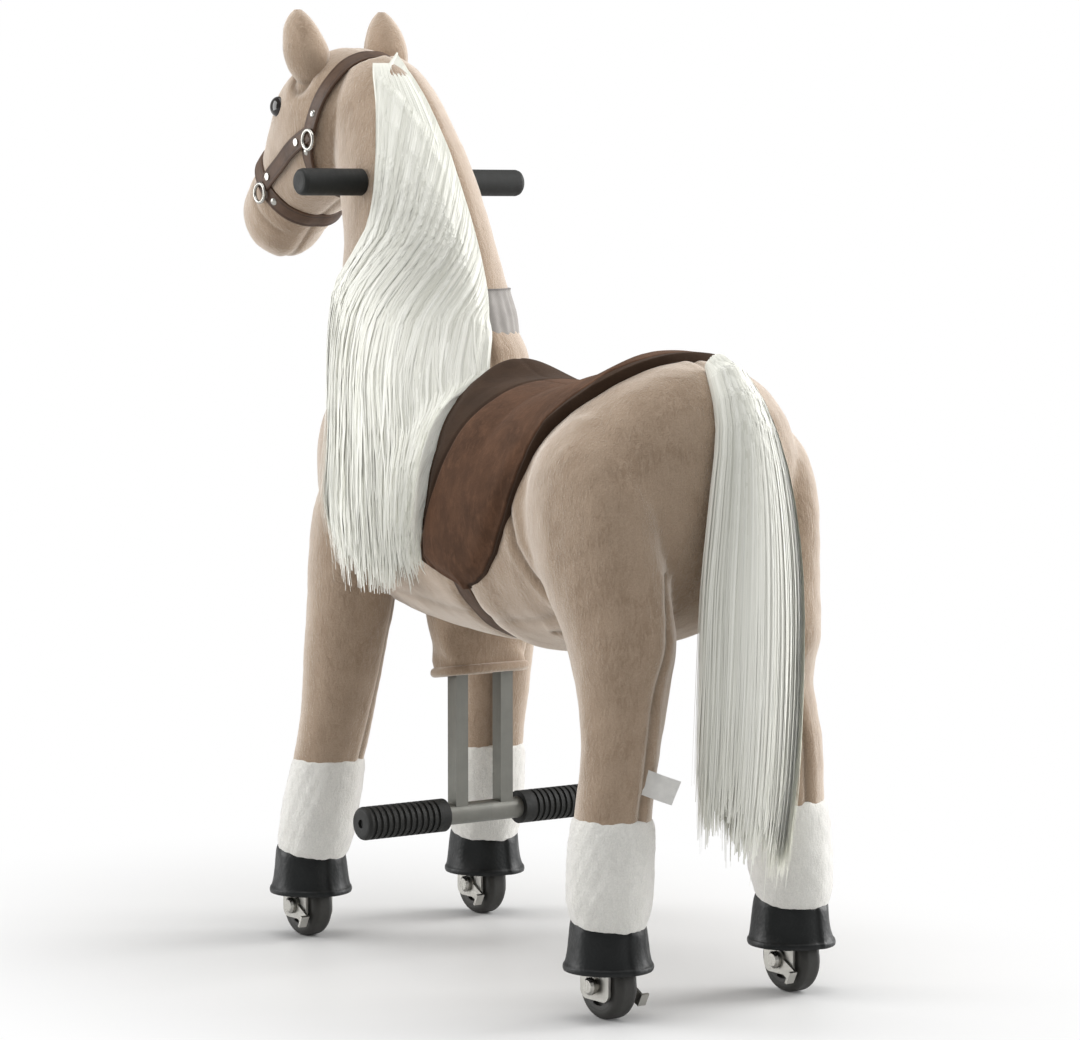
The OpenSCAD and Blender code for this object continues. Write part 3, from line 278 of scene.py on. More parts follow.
def closed_rings(rings):
    """Points, quads and triangles of a skin over rings, with a pole in the middle of each end ring."""
    rows, sides = rings.shape[:2]
    points = np.vstack([rings.reshape(-1, 3), rings[0].mean(0), rings[-1].mean(0)])
    here = np.arange(sides)
    following = (here + 1) % sides
    first = np.stack([np.full(sides, rows * sides), following, here], axis=-1)
    end = (rows - 1) * sides
    second = np.stack([np.full(sides, rows * sides + 1), end + here, end + following], axis=-1)
    return points, grid_quads(rows, sides), np.vstack([first, second])


def joined_rings(*stacks):
    """A skin over stacks of rings that ends on its first ring, whose doubled points are to be welded."""
    skin = np.concatenate([*stacks, stacks[0][:1]])
    return skin.reshape(-1, 3), grid_quads(*skin.shape[:2]), no_faces(3)


def mirrored(points):
    """Points on the other side of the horse."""
    return points * np.array([1, -1, 1])


def pair_of(rings):
    """A closed form on the left and its twin on the right."""
    return [closed_rings(rings), closed_rings(mirrored(rings)[:, ::-1])]


def slab(outer, inner):
    """A closed sheet between two open grids of points."""
    rows, columns = outer.shape[:2]
    count = rows * columns
    quads = grid_quads(rows, columns, around=False)
    border = np.concatenate([
        np.arange(columns), np.arange(1, rows) * columns + columns - 1,
        (rows - 1) * columns + np.arange(columns - 2, -1, -1), np.arange(rows - 2, 0, -1) * columns])
    following = np.roll(border, -1)
    sides = np.stack([border, border + count, following + count, following], axis=-1)
    points = np.vstack([outer.reshape(-1, 3), inner.reshape(-1, 3)])
    return points, np.vstack([quads, quads[:, ::-1] + count, sides]), no_faces(3)


def no_faces(corners):
    """An empty list of faces."""
    return np.zeros((0, corners), int)


def gather(parts):
    """Several shapes of points, quads and triangles as one."""
    points, quads, triangles, count = [], [no_faces(4)], [no_faces(3)], 0
    for part_points, part_quads, part_triangles in parts:
        points.append(part_points)
        quads.append(part_quads + count)
        triangles.append(part_triangles + count)
        count += len(part_points)
    return np.vstack(points), np.vstack(quads), np.vstack(triangles)


def make_mesh(name, shape, uv=None, values=None):
    """A mesh in metres from points in millimetres, with a UV for each point and named numbers for each point."""
    points, quads, triangles = shape
    mesh = bpy.data.meshes.new(name)
    mesh.vertices.add(len(points))
    mesh.vertices.foreach_set("co", (points * MM).astype(np.float32).ravel())
    corners = np.concatenate([quads.ravel(), triangles.ravel()]).astype(np.int32)
    mesh.loops.add(len(corners))
    mesh.loops.foreach_set("vertex_index", corners)
    starts = np.concatenate([np.arange(len(quads)) * 4, len(quads) * 4 + np.arange(len(triangles)) * 3])
    mesh.polygons.add(len(starts))
    mesh.polygons.foreach_set("loop_start", starts.astype(np.int32))
    mesh.update(calc_edges=True)
    mesh.polygons.foreach_set("use_smooth", np.ones(len(starts), bool))
    if uv is not None:
        layer = mesh.uv_layers.new(name="UVMap")
        layer.data.foreach_set("uv", uv[corners].astype(np.float32).ravel())
    for key, numbers in (values or {}).items():
        mesh.attributes.new(key, "FLOAT", "POINT").data.foreach_set("value", numbers.astype(np.float32))
    mesh.validate()
    mesh.update()
    return mesh


def solid_mesh(name, shape, values=None, welded=False):
    """A mesh of a closed shape, with points that lie together joined if asked and its faces turned outwards."""
    mesh = make_mesh(name, shape, values=values)
    work = bmesh.new()
    work.from_mesh(mesh)
    if welded:
        bmesh.ops.remove_doubles(work, verts=work.verts, dist=1e-6)
    bmesh.ops.recalc_face_normals(work, faces=work.faces)
    work.to_mesh(mesh)
    work.free()
    mesh.update()
    return mesh


def place(name, mesh, finish):
    """An object for a mesh, at the origin, with its material."""
    piece = bpy.data.objects.new(name, mesh)
    bpy.context.scene.collection.objects.link(piece)
    mesh.materials.append(finish)
    return piece


def carried(piece, body, slot, *replaced):
    """Puts a piece on a body, in the place of the frame's nodes. The slot is not used."""
    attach(piece, body)
    if replaced:
        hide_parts(*replaced)


def arrays(mesh):
    """Points in millimetres, quads, triangles and outward normals of a mesh."""
    points = np.zeros(len(mesh.vertices) * 3, np.float32)
    mesh.vertices.foreach_get("co", points)
    normals = np.zeros(len(mesh.vertices) * 3, np.float32)
    mesh.vertex_normals.foreach_get("vector", normals)
    corners = np.zeros(len(mesh.loops), np.int32)
    mesh.loops.foreach_get("vertex_index", corners)
    starts = np.zeros(len(mesh.polygons), np.int32)
    mesh.polygons.foreach_get("loop_start", starts)
    sizes = np.diff(np.append(starts, len(corners)))
    quads = corners[starts[sizes == 4][:, None] + np.arange(4)]
    triangles = corners[starts[sizes == 3][:, None] + np.arange(3)]
    return points.reshape(-1, 3).astype(float) / MM, quads, triangles, normals.reshape(-1, 3).astype(float)


def modified(mesh, kind, **settings):
    """The mesh that a modifier makes of a mesh."""
    carrier = bpy.data.objects.new("carrier", mesh)
    bpy.context.scene.collection.objects.link(carrier)
    modifier = carrier.modifiers.new(kind, kind)
    for key, value in settings.items():
        setattr(modifier, key, value)
    made = bpy.data.meshes.new_from_object(carrier.evaluated_get(bpy.context.evaluated_depsgraph_get()))
    bpy.data.objects.remove(carrier)
    return made


def relaxed(points, quads, rounds):
    """Each round moves a point half way to the mean of its neighbours and then slightly more than that back out, which
    rounds the creases and keeps the volume."""
    ends = np.vstack([quads[:, [0, 1]], quads[:, [1, 2]], quads[:, [2, 3]], quads[:, [3, 0]]])
    start, finish = ends[:, 0], ends[:, 1]
    count = np.maximum(np.bincount(start, minlength=len(points)), 1)[:, None]
    for step in [0.5, -0.52] * rounds:
        total = np.stack([np.bincount(start, points[finish, k], len(points)) for k in range(3)], axis=-1)
        points = points + step * (total / count - points)
    return points


def fused(parts, voxel, rounds):
    """One skin round overlapping closed shapes: remeshed on voxels, relaxed and subdivided once."""
    rough = modified(make_mesh("rough", gather(parts)), "REMESH", mode="VOXEL", voxel_size=voxel)
    points, quads, triangles = arrays(rough)[:3]
    smooth = make_mesh("smooth", (relaxed(points, quads, rounds), quads, triangles))
    return modified(smooth, "SUBSURF", levels=1, render_levels=1)


def distance_to(points, route):
    """Distance of each point to a line of straight stretches, in as many dimensions as the line has."""
    route = np.asarray(route, float)
    nearest = np.full(len(points), np.inf)
    for start, end in zip(route[:-1], route[1:]):
        run = end - start
        share = np.clip((points - start) @ run / (run @ run), 0, 1)
        nearest = np.minimum(nearest, np.linalg.norm(points - start - share[:, None] * run, axis=1))
    return nearest


SEAM_WIDTH = 3.2


def sewn(points, normals, distances, depth):
    """Seams: points move in along their normals by depth on the line, on a bell as wide as a seam, and swell by about
    a third of it beside the line. Returns the points and how near each is to a seam."""
    near = np.exp(-(distances / SEAM_WIDTH) ** 2)
    swell = np.exp(-((distances - 3.2 * SEAM_WIDTH) / (1.6 * SEAM_WIDTH)) ** 2)
    return points + normals * (depth * (0.35 * swell - near))[:, None], near


def sewn_along(points, normals, depth, seams):
    """Several seams, each the points' distances to its line and its share of the depth."""
    near_any = np.zeros(len(points))
    for distances, share in seams:
        points, near = sewn(points, normals, np.minimum(distances, 1e3), depth * share)
        near_any = np.maximum(near_any, near * share)
    return points, near_any


def ripples(points, size, seed):
    """Smooth uneven waves from minus one to one, as a sum of sines in several directions over a size in millimetres."""
    draw = np.random.default_rng(seed)
    waves = draw.normal(size=(9, 3)) / size * 2.2
    phases = draw.uniform(0, 2 * np.pi, 9)
    return np.sin(points @ waves.T + phases).mean(axis=1)


def rippled(points, normals, *waves):
    """Points moved along their normals by waves, each a height, a size and a seed."""
    return points + normals * sum(height * ripples(points, size, seed) for height, size, seed in waves)[:, None]


# Materials
def linked(tree, socket, value):
    """Sets a socket to a constant, or links it to an output."""
    if isinstance(value, bpy.types.NodeSocket):
        tree.links.new(value, socket)
    else:
        socket.default_value = value


def node(tree, kind, settings=None, **inputs):
    """A shader node with its settings and its inputs by name."""
    made = tree.nodes.new("ShaderNode" + kind)
    for key, value in (settings or {}).items():
        setattr(made, key, value)
    for key, value in inputs.items():
        linked(tree, made.inputs[key.replace("_", " ")], value)
    return made


def math_node(tree, operation, first, second):
    """The result of a sum on two numbers or outputs."""
    made = node(tree, "Math", {"operation": operation})
    linked(tree, made.inputs[0], first)
    linked(tree, made.inputs[1], second)
    return made.outputs[0]


def mixed(tree, factor, first, second):
    """A colour between two colours or outputs."""
    made = node(tree, "Mix", {"data_type": "RGBA"})
    for socket, value in zip((made.inputs[0], made.inputs[6], made.inputs[7]), (factor, first, second)):
        linked(tree, socket, (*value, 1) if isinstance(value, tuple) and len(value) == 3 else value)
    return made.outputs[2]


def times(colour, share):
    """A colour made darker or lighter."""
    return tuple(min(1.0, share * c) for c in colour)


def noise(tree, vector, scale, detail=2.0, roughness=0.5, distortion=0.0):
    """Cloudy noise from nought to one."""
    made = node(tree, "TexNoise", Vector=vector, Scale=scale, Detail=detail, Roughness=roughness, Distortion=distortion)
    return made.outputs["Fac"]


def between(tree, value, low, high, start=0.0, end=1.0):
    """A number carried from one range to another and held inside it."""
    made = node(tree, "MapRange", {"clamp": True}, Value=value, From_Min=low, From_Max=high, To_Min=start, To_Max=end)
    return made.outputs[0]


def stretched(tree, vector, scale):
    """Coordinates scaled on each axis."""
    return node(tree, "Mapping", Vector=vector, Scale=scale).outputs[0]


def bumped(tree, shader, *layers):
    """Bump layers on a shader, each a height, a distance in metres and a strength."""
    normal = None
    for height, distance, strength in layers:
        made = node(tree, "Bump", Height=height, Distance=distance, Strength=strength)
        if normal is not None:
            tree.links.new(normal, made.inputs["Normal"])
        normal = made.outputs[0]
    tree.links.new(normal, shader.inputs["Normal"])


def finish_of(name, **values):
    """A new material, its node tree, its shader and its coordinates. Values set the shader's sockets."""
    made = bpy.data.materials.new(name)
    made.use_nodes = True
    tree = made.node_tree
    shader = tree.nodes["Principled BSDF"]
    for key, value in values.items():
        shader.inputs[key.replace("_", " ")].default_value = value
    coordinates = node(tree, "TexCoord")
    return made, tree, shader, coordinates


def attribute(tree, name):
    """A number that the mesh holds for each point."""
    return node(tree, "Attribute", {"attribute_name": name}).outputs["Fac"]


def plush_finish(name, light, shade, seam_share=0.55):
    """Short pile: fine speckle, broad patches where the pile lies the other way, brushed streaks, darker seams and a
    painted rim highlight where the surface turns edge-on to the view.
    """
    made, tree, shader, coordinates = finish_of(
        name, Roughness=0.96, Sheen_Weight=1.0, Sheen_Roughness=0.38, Specular_IOR_Level=0.1)
    place_in = coordinates.outputs["Object"]
    patches = noise(tree, place_in, 14.0, 4.0, 0.6, 1.2)
    streaks = noise(tree, stretched(tree, place_in, (190, 190, 60)), 1.0, 4.0, 0.62, 1.4)
    speckle = noise(tree, place_in, 620.0, 3.0, 0.7)
    lay = math_node(tree, "MULTIPLY", between(tree, patches, 0.38, 0.66), between(tree, streaks, 0.36, 0.68))
    tone = mixed(tree, between(tree, lay, 0.0, 0.6, 0.0, 0.9), light, shade)
    tone = mixed(tree, between(tree, speckle, 0.35, 0.7, 0.0, 0.42), tone, shade)
    lit = times(light, 1.22)
    tone = mixed(tree, between(tree, speckle, 0.6, 0.25, 0.0, 0.35), tone, lit)
    # Painted rim highlight: the pile is lightened towards the edges of the form as seen from the view, standing in for
    # rim light.
    facing = node(tree, "LayerWeight", Blend=0.42).outputs["Facing"]
    painted_rim_light = tuple(min(0.92, 0.25 + 1.45 * c) for c in light)
    tone = mixed(tree, between(tree, facing, 0.34, 0.95, 0.0, 0.6), tone, painted_rim_light)
    seam = between(tree, attribute(tree, "seam"), 0.0, 1.0, 0.0, seam_share)
    tone = mixed(tree, seam, tone, times(shade, 0.35))
    tree.links.new(tone, shader.inputs["Base Color"])
    shader.inputs["Sheen Tint"].default_value = (1.0, 0.96, 0.9, 1)
    bumped(tree, shader, (streaks, 0.0022, 0.55), (speckle, 0.0011, 0.8))
    return made


def hair_finish(name, tint, shade):
    """Long straight hair: each lock has its own tone, which also carries painted shade between bands of locks and in
    the grooves of the close hair; fine lines run along it and its root and underside are darker.
    """
    made, tree, shader, coordinates = finish_of(
        name, Roughness=0.5, Specular_IOR_Level=0.35, Sheen_Weight=0.12, Sheen_Roughness=0.4)
    lines = noise(tree, stretched(tree, coordinates.outputs["UV"], (320, 4.0, 1)), 1.0, 2.0, 0.6)
    fine = noise(tree, stretched(tree, coordinates.outputs["UV"], (1300, 6.0, 1)), 1.0, 2.0, 0.6)
    tone = attribute(tree, "tone")
    own = mixed(tree, between(tree, tone, 0.0, 1.0), shade, tint)
    own = mixed(tree, between(tree, lines, 0.42, 0.75, 0.0, 0.3), own, shade)
    own = mixed(tree, between(tree, fine, 0.42, 0.75, 0.0, 0.3), own, times(tint, 1.2))
    tree.links.new(own, shader.inputs["Base Color"])
    bumped(tree, shader, (lines, 0.0006, 0.35), (fine, 0.0004, 0.4))
    return made


def suede_finish(name, base, dark):
    """Brushed suede: soft clouds, short scuffs and a fine nap, with darker panels."""
    made, tree, shader, coordinates = finish_of(
        name, Roughness=0.88, Sheen_Weight=0.06, Sheen_Roughness=0.45, Specular_IOR_Level=0.12)
    place_in = coordinates.outputs["Object"]
    clouds = noise(tree, place_in, 26.0, 4.0, 0.6, 0.4)
    scuffs = noise(tree, stretched(tree, place_in, (180, 180, 60)), 1.0, 3.0, 0.6, 0.5)
    nap = noise(tree, place_in, 900.0, 2.0, 0.6)
    tone = mixed(tree, between(tree, clouds, 0.32, 0.7), times(base, 0.72), times(base, 1.35))
    tone = mixed(tree, between(tree, scuffs, 0.5, 0.72, 0.0, 0.5), tone, times(base, 1.7))
    tone = mixed(tree, between(tree, nap, 0.4, 0.7, 0.0, 0.35), tone, times(base, 0.5))
    deep = mixed(tree, between(tree, clouds, 0.32, 0.7), times(dark, 0.8), times(dark, 1.25))
    tone = mixed(tree, attribute(tree, "panel"), tone, deep)
    stitch = between(tree, attribute(tree, "seam"), 0.2, 1.0, 0.0, 0.7)
    tone = mixed(tree, stitch, tone, times(dark, 0.4))
    tree.links.new(tone, shader.inputs["Base Color"])
    shader.inputs["Sheen Tint"].default_value = (1.0, 0.82, 0.7, 1)
    bumped(tree, shader, (scuffs, 0.0008, 0.4), (nap, 0.0006, 0.6))
    return made


def leather_finish(name, base, roughness, grain=420.0, wear=0.35):
    """Smooth leather: pebbled grain, faint clouds and lighter worn places."""
    made, tree, shader, coordinates = finish_of(name, Specular_IOR_Level=0.3)
    place_in = coordinates.outputs["Object"]
    pebbles = node(tree, "TexVoronoi", Vector=place_in, Scale=grain).outputs["Distance"]
    clouds = noise(tree, place_in, 34.0, 4.0, 0.6, 0.3)
    rubbed = noise(tree, place_in, 120.0, 4.0, 0.65)
    tone = mixed(tree, between(tree, clouds, 0.3, 0.7), times(base, 0.75), times(base, 1.3))
    tone = mixed(tree, between(tree, rubbed, 0.55, 0.75, 0.0, wear), tone, times(base, 1.9))
    stitch = between(tree, attribute(tree, "seam"), 0.2, 1.0, 0.0, 0.8)
    tone = mixed(tree, stitch, tone, times(base, 0.35))
    tree.links.new(tone, shader.inputs["Base Color"])
    shine = between(tree, rubbed, 0.3, 0.75, roughness + 0.1, roughness - 0.08)
    tree.links.new(shine, shader.inputs["Roughness"])
    bumped(tree, shader, (clouds, 0.0012, 0.25), (pebbles, 0.0005, 0.35))
    return made


def woven_finish(name, base):
    """Stretch cloth: a fine twill of crossing lines with uneven threads."""
    made, tree, shader, coordinates = finish_of(name, Roughness=0.9, Sheen_Weight=0.2, Specular_IOR_Level=0.2)
    place_in = coordinates.outputs["Object"]
    twill = node(tree, "TexWave", {"wave_type": "BANDS", "bands_direction": "DIAGONAL"}, Vector=place_in, Scale=330.0,
                 Distortion=0.6, Detail=1.0).outputs["Fac"]
    clouds = noise(tree, place_in, 45.0, 3.0, 0.6)
    tone = mixed(tree, between(tree, clouds, 0.3, 0.7), times(base, 0.82), times(base, 1.12))
    tone = mixed(tree, between(tree, twill, 0.3, 0.8, 0.0, 0.3), tone, times(base, 0.6))
    seam = between(tree, attribute(tree, "seam"), 0.1, 1.0, 0.0, 0.7)
    tone = mixed(tree, seam, tone, times(base, 0.25))
    tree.links.new(tone, shader.inputs["Base Color"])
    bumped(tree, shader, (twill, 0.0006, 0.5))
    return made


def metal_finish(name, base, roughness, metallic=1.0, spots=0.25):
    """Metal or paint on metal: fine brushed lines, faint clouds in its gloss and a few dull spots."""
    made, tree, shader, coordinates = finish_of(name, Metallic=metallic)
    place_in = coordinates.outputs["Object"]
    lines = noise(tree, stretched(tree, place_in, (400, 400, 30)), 1.0, 3.0, 0.6)
    clouds = noise(tree, place_in, 60.0, 4.0, 0.6)
    tone = mixed(tree, between(tree, clouds, 0.35, 0.7, 0.0, spots), base, times(base, 0.6))
    tree.links.new(tone, shader.inputs["Base Color"])
    tree.links.new(between(tree, lines, 0.3, 0.7, roughness - 0.06, roughness + 0.1), shader.inputs["Roughness"])
    bumped(tree, shader, (lines, 0.0002, 0.25))
    return made


def moulded_finish(name, base, roughness, grain=900.0, depth=0.0003):
    """Moulded plastic or rubber: fine spark grain and faint scuffs."""
    made, tree, shader, coordinates = finish_of(name, Specular_IOR_Level=0.4)
    place_in = coordinates.outputs["Object"]
    spark = noise(tree, place_in, grain, 2.0, 0.6)
    scuffs = noise(tree, stretched(tree, place_in, (90, 260, 90)), 1.0, 4.0, 0.65)
    tone = mixed(tree, between(tree, scuffs, 0.5, 0.75, 0.0, 0.5), base, times(base, 1.8))
    tree.links.new(tone, shader.inputs["Base Color"])
    tree.links.new(between(tree, scuffs, 0.3, 0.7, roughness - 0.08, roughness + 0.1), shader.inputs["Roughness"])
    bumped(tree, shader, (spark, depth, 0.5))
    return made


def ply_finish(name):
    """Birch plywood: pale wavy grain."""
    made, tree, shader, coordinates = finish_of(name, Roughness=0.7)
    grain = noise(tree, stretched(tree, coordinates.outputs["Object"], (8, 120, 120)), 1.0, 4.0, 0.6, 1.0)
    tone = mixed(tree, between(tree, grain, 0.3, 0.7), (0.45, 0.31, 0.18), (0.62, 0.46, 0.29))
    tree.links.new(tone, shader.inputs["Base Color"])
    bumped(tree, shader, (grain, 0.0004, 0.3))
    return made


def gloss_finish(name):
    """The eye: deep black with a clear coat and a faint brown cloud inside."""
    made, tree, shader, coordinates = finish_of(
        name, Roughness=0.1, Specular_IOR_Level=0.3, Coat_Weight=0.3, Coat_Roughness=0.05)
    clouds = noise(tree, coordinates.outputs["Object"], 90.0, 3.0, 0.5)
    tree.links.new(mixed(tree, clouds, (0.004, 0.004, 0.004), (0.018, 0.011, 0.007)), shader.inputs["Base Color"])
    return made


FINISHES = {}


def finish(name):
    """A material by its name, made once."""
    scene = bpy.context.scene
    plush, hair, tack = scene.horse_plush, scene.horse_hair, scene.horse_tack
    makers = {
        "coat": (plush_finish, tuple(plush.coat), tuple(plush.coat_shade)),
        "sock": (plush_finish, tuple(plush.sock), times(plush.sock, 0.86), 0.3),
        "hair": (hair_finish, tuple(hair.tint), tuple(hair.shade)),
        "suede": (suede_finish, tuple(tack.suede), tuple(tack.binding)),
        "strap": (leather_finish, tuple(tack.strap), 0.5),
        "hoof": (leather_finish, tuple(tack.hoof), 0.42, 300.0, 0.4),
        "gaiter": (woven_finish, (0.34, 0.32, 0.30)),
        "tag": (woven_finish, (0.8, 0.79, 0.76)),
        "silver": (metal_finish, (0.20, 0.20, 0.18), 0.42, 0.55),
        "frame": (metal_finish, (0.12, 0.12, 0.13), 0.5, 0.3),
        "zinc": (metal_finish, (0.44, 0.43, 0.40), 0.36),
        "steel": (metal_finish, (0.42, 0.41, 0.38), 0.22, 1.0, 0.1),
        "hub": (moulded_finish, (0.045, 0.043, 0.040), 0.5),
        "tread": (moulded_finish, (0.030, 0.029, 0.026), 0.55, 700.0, 0.0004),
        "grip": (moulded_finish, (0.009, 0.0095, 0.0085), 0.62, 800.0, 0.0005),
        "nylon": (moulded_finish, (0.62, 0.61, 0.56), 0.5),
        "ply": (ply_finish,),
        "eye": (gloss_finish,),
    }
    if name not in FINISHES:
        maker, *values = makers[name]
        FINISHES[name] = maker(name, *values)
    return FINISHES[name]


# Stuffed forms
def sew_body(points, normals, depth):
    """Seams of the trunk and hind legs: the crease in front of each thigh, the belly panel, the backs of the legs
    and the spine."""
    side_view = points[:, [0, 2]]
    thigh = [(HIP_X + 85, 500), (HIP_X + 87, 476), (HIP_X + 77, 439), (HIP_X + 59, 411), (HIP_X + 35, 377),
             (HIP_X + 16, 345), (HIP_X + 8, 325)]
    crease = np.where(np.abs(points[:, 1]) > 55, distance_to(side_view, thigh), np.inf)
    belly = np.where(points[:, 2] < 400, np.abs(np.abs(points[:, 1]) - 96) * 0.8, np.inf)
    belly = np.where(points[:, 0] > HIP_X + 20, belly, np.inf)
    level = points[:, 2]
    back_y = WHEEL_Y - np.interp(level, [150, 186, 248, 303, 350, 430], [8, 10, 16, 28, 34, 44])
    behind = np.where((normals[:, 0] < -0.1) & (level < 420), np.abs(np.abs(points[:, 1]) - back_y), np.inf)
    spine = np.where(level > 480, np.abs(points[:, 1]), np.inf)
    return sewn_along(points, normals, depth, ((crease, 0.8), (belly, 0.35), (behind, 0.8), (spine, 0.6)))


def skin_piece(name, mesh, keep_point, keep_normal, finish_name, values):
    """One side of a skin, cut by a plane, with the cut closed and the whole skin's own normals at its edge."""
    points, quads, triangles, normals = arrays(mesh)
    whole = make_mesh(name, (points, quads, triangles), values=values)
    whole.attributes.new("own_normal", "FLOAT_VECTOR", "POINT").data.foreach_set(
        "vector", normals.astype(np.float32).ravel())
    work = bmesh.new()
    work.from_mesh(whole)
    everything = work.verts[:] + work.edges[:] + work.faces[:]
    bmesh.ops.bisect_plane(
        work, geom=everything, plane_co=Vector(keep_point) * MM, plane_no=Vector(keep_normal), clear_inner=True)
    rim = [edge for edge in work.edges if edge.is_boundary]
    bmesh.ops.holes_fill(work, edges=rim, sides=0)
    work.to_mesh(whole)
    work.free()
    whole.polygons.foreach_set("use_smooth", np.ones(len(whole.polygons), bool))
    kept = np.zeros(len(whole.vertices) * 3, np.float32)
    whole.attributes["own_normal"].data.foreach_get("vector", kept)
    whole.attributes.remove(whole.attributes["own_normal"])
    whole.normals_split_custom_set_from_vertices(unit(kept.reshape(-1, 3)).tolist())
    return place(name, whole, finish(finish_name))


MID_X = HIP_X + 190.5
GIRTH_SHARE = 0.47
GIRTH_PINCH = 5.5
BELLY_SWELL = 4.0


def make_body():
    """Trunk, thighs and hind legs as one skin, split across the middle under the saddle."""
    settings = bpy.context.scene.horse_plush
    parts = [closed_rings(loft(TRUNK, 6, 96)), closed_rings(loft(NECK_STUMP, 6, 72))]
    parts += pair_of(loft(HINDLEG, 6, 48))
    mesh = fused(parts, settings.voxel, 9)
    points, quads, triangles, normals = arrays(mesh)
    points = rippled(points, normals, (1.1, 42, 3), (0.7, 17, 4))
    points, near = sew_body(points, normals, settings.seam_depth / MM)
    from_strap = points[:, 0] - along(GIRTH_SHARE)
    low = np.clip((440 - points[:, 2]) / 70, 0, 1)
    pinch = GIRTH_PINCH * np.exp(-(from_strap / 17) ** 4)
    pinch = pinch - BELLY_SWELL * np.exp(-((from_strap + 42) / 22) ** 2)
    points = points - normals * (pinch * low)[:, None]
    mesh = make_mesh("body", (points, quads, triangles))
    values = {"seam": near}
    hind = skin_piece("hind_skin", mesh, (MID_X, 0, 0), (-1, 0, 0), "coat", values)
    chest = skin_piece("chest_skin", mesh, (MID_X, 0, 0), (1, 0, 0), "coat", values)
    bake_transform(hind)
    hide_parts("torso", "rear_left_leg", "rear_right_leg")
    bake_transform(chest)
    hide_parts("torso")


RAIL = np.array([STEER_X - 49.5, 56.0, 500.0])
RAIL_ROOM = 4.5
RAIL_REACH = 20.0


def make_forelegs():
    """A stuffed front leg on each side, with a seam down its back, sunk into the chest at its top."""
    settings = bpy.context.scene.horse_plush
    shapes = pair_of(loft(FORELEG, 14, 96))
    for side, word, shape in ((1, "left", shapes[0]), (-1, "right", shapes[1])):
        points, quads, triangles, normals = arrays(solid_mesh("foreleg", shape))
        points = rippled(points, normals, (0.9, 40, 5), (0.6, 15, 6))
        # Room for the spine frame's rail with the steering at its limit
        away = (points - RAIL * np.array([1, side, 1])) / RAIL_REACH
        points = points - normals * (RAIL_ROOM * np.exp(-(away ** 2).sum(axis=1)))[:, None]
        level = points[:, 2]
        seam_y = side * np.interp(level, [150, 300, 400], [WHEEL_Y - 22, WHEEL_Y - 44, WHEEL_Y - 52])
        off = np.where((normals[:, 0] < -0.2) & (level < 380), np.abs(points[:, 1] - seam_y), 1e3)
        points, near = sewn(points, normals, off, settings.seam_depth / MM * 0.8)
        mesh = make_mesh("foreleg_" + word, (points, quads, triangles), values={"seam": near})
        piece = place("foreleg_" + word, mesh, finish("coat"))
        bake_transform(piece)
        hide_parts("front_%s_leg" % word, "%s_shoulder" % word)


# Ears and head
# Rows of an ear: x and y from its root, share of its height, half depth, half width
EAR_ROWS = [(-5, -4, -0.16, 14, 12), (-3, -2, 0.03, 18, 15), (0, 1, 0.22, 27, 21), (4, 3, 0.46, 30, 23),
            (9, 5, 0.72, 24, 18), (12, 6, 0.9, 14, 11), (13, 6, 1.0, 4, 4)]


def make_ears():
    """Two ears: leaves that are pinched at the root, flat, dished in front and seamed down their edges."""
    rows = [(BROW[0] + x, BROW[1] + y, BROW[2] + share * EAR_HEIGHT, depth, width, 0, 2)
            for x, y, share, depth, width in EAR_ROWS]
    line = stations(rows, 10)
    angles = whole_turn(72)
    up = np.clip((line[:, 2] - BROW[2]) / EAR_HEIGHT, 0, 1)[:, None]
    facing = math.radians(-8)
    apart = np.angle(np.exp(1j * (angles - facing)))[None, :]
    rings = ovals(line, angles)
    middle = line[:, None, :3]
    dish = 1 - 0.6 * np.exp(-(apart / 0.75) ** 2) * np.sin(np.pi * up) ** 0.8
    rings = middle + (rings - middle) * dish[..., None]
    edges = np.exp(-((np.abs(apart) - 1.25) / 0.09) ** 2) * np.sin(np.pi * up) ** 0.5
    root = np.exp(-((up - 0.02) / 0.05) ** 2) + 0 * apart
    seam = np.clip(0.6 * edges + 0.8 * root, 0, 1)
    rings = middle + (rings - middle) * (1 - 0.05 * edges)[..., None]
    seams = [np.append(seam.ravel(), [0, 0]), np.append(seam[:, ::-1].ravel(), [0, 0])]
    points, quads, triangles, normals = arrays(solid_mesh("ear", gather(pair_of(rings))))
    points = rippled(points, normals, (0.5, 20, 9))
    mesh = make_mesh("ear_plush", (points, quads, triangles), values={"seam": np.concatenate(seams)})
    piece = place("ear_plush", mesh, finish("coat"))
    carried(piece, "forehand", "plush", "ears")


def sew_head(points, normals, depth):
    """Seams of the neck and head: down the face and the crest, beside the muzzle and round each ear's root."""
    middle = np.abs(points[:, 1])
    from_ear = points - BROW * np.array([1, 0, 1]) - np.sign(points[:, 1:2]) * [0, BROW[1], 0]
    root = np.abs(np.linalg.norm(from_ear, axis=1) - EAR_ROOT)
    root = np.where(points[:, 2] > BROW[2] - 16, root, 1e3)
    nose = distance_to(points[:, [0, 2]], [(STEER_X + 300, 800), (STEER_X + 284, 762), (STEER_X + 262, 734)])
    return sewn_along(points, normals, depth, ((root, 0.8), (middle, 0.4), (nose, 0.3)))


def make_head():
    """Neck and head as one skin."""
    settings = bpy.context.scene.horse_plush
    parts = [closed_rings(loft(rows, 6, 72)) for rows in (NECK, HEAD)]
    mesh = fused(parts, 0.7 * settings.voxel, 6)
    points, quads, triangles, normals = arrays(mesh)
    points = rippled(points, normals, (0.9, 36, 7), (0.5, 14, 8))
    points, near = sew_head(points, normals, settings.seam_depth / MM)
    mesh = make_mesh("head_skin", (points, quads, triangles), values={"seam": near})
    piece = place("head_skin", mesh, finish("coat"))
    carried(piece, "forehand", "plush", "neck", "head")


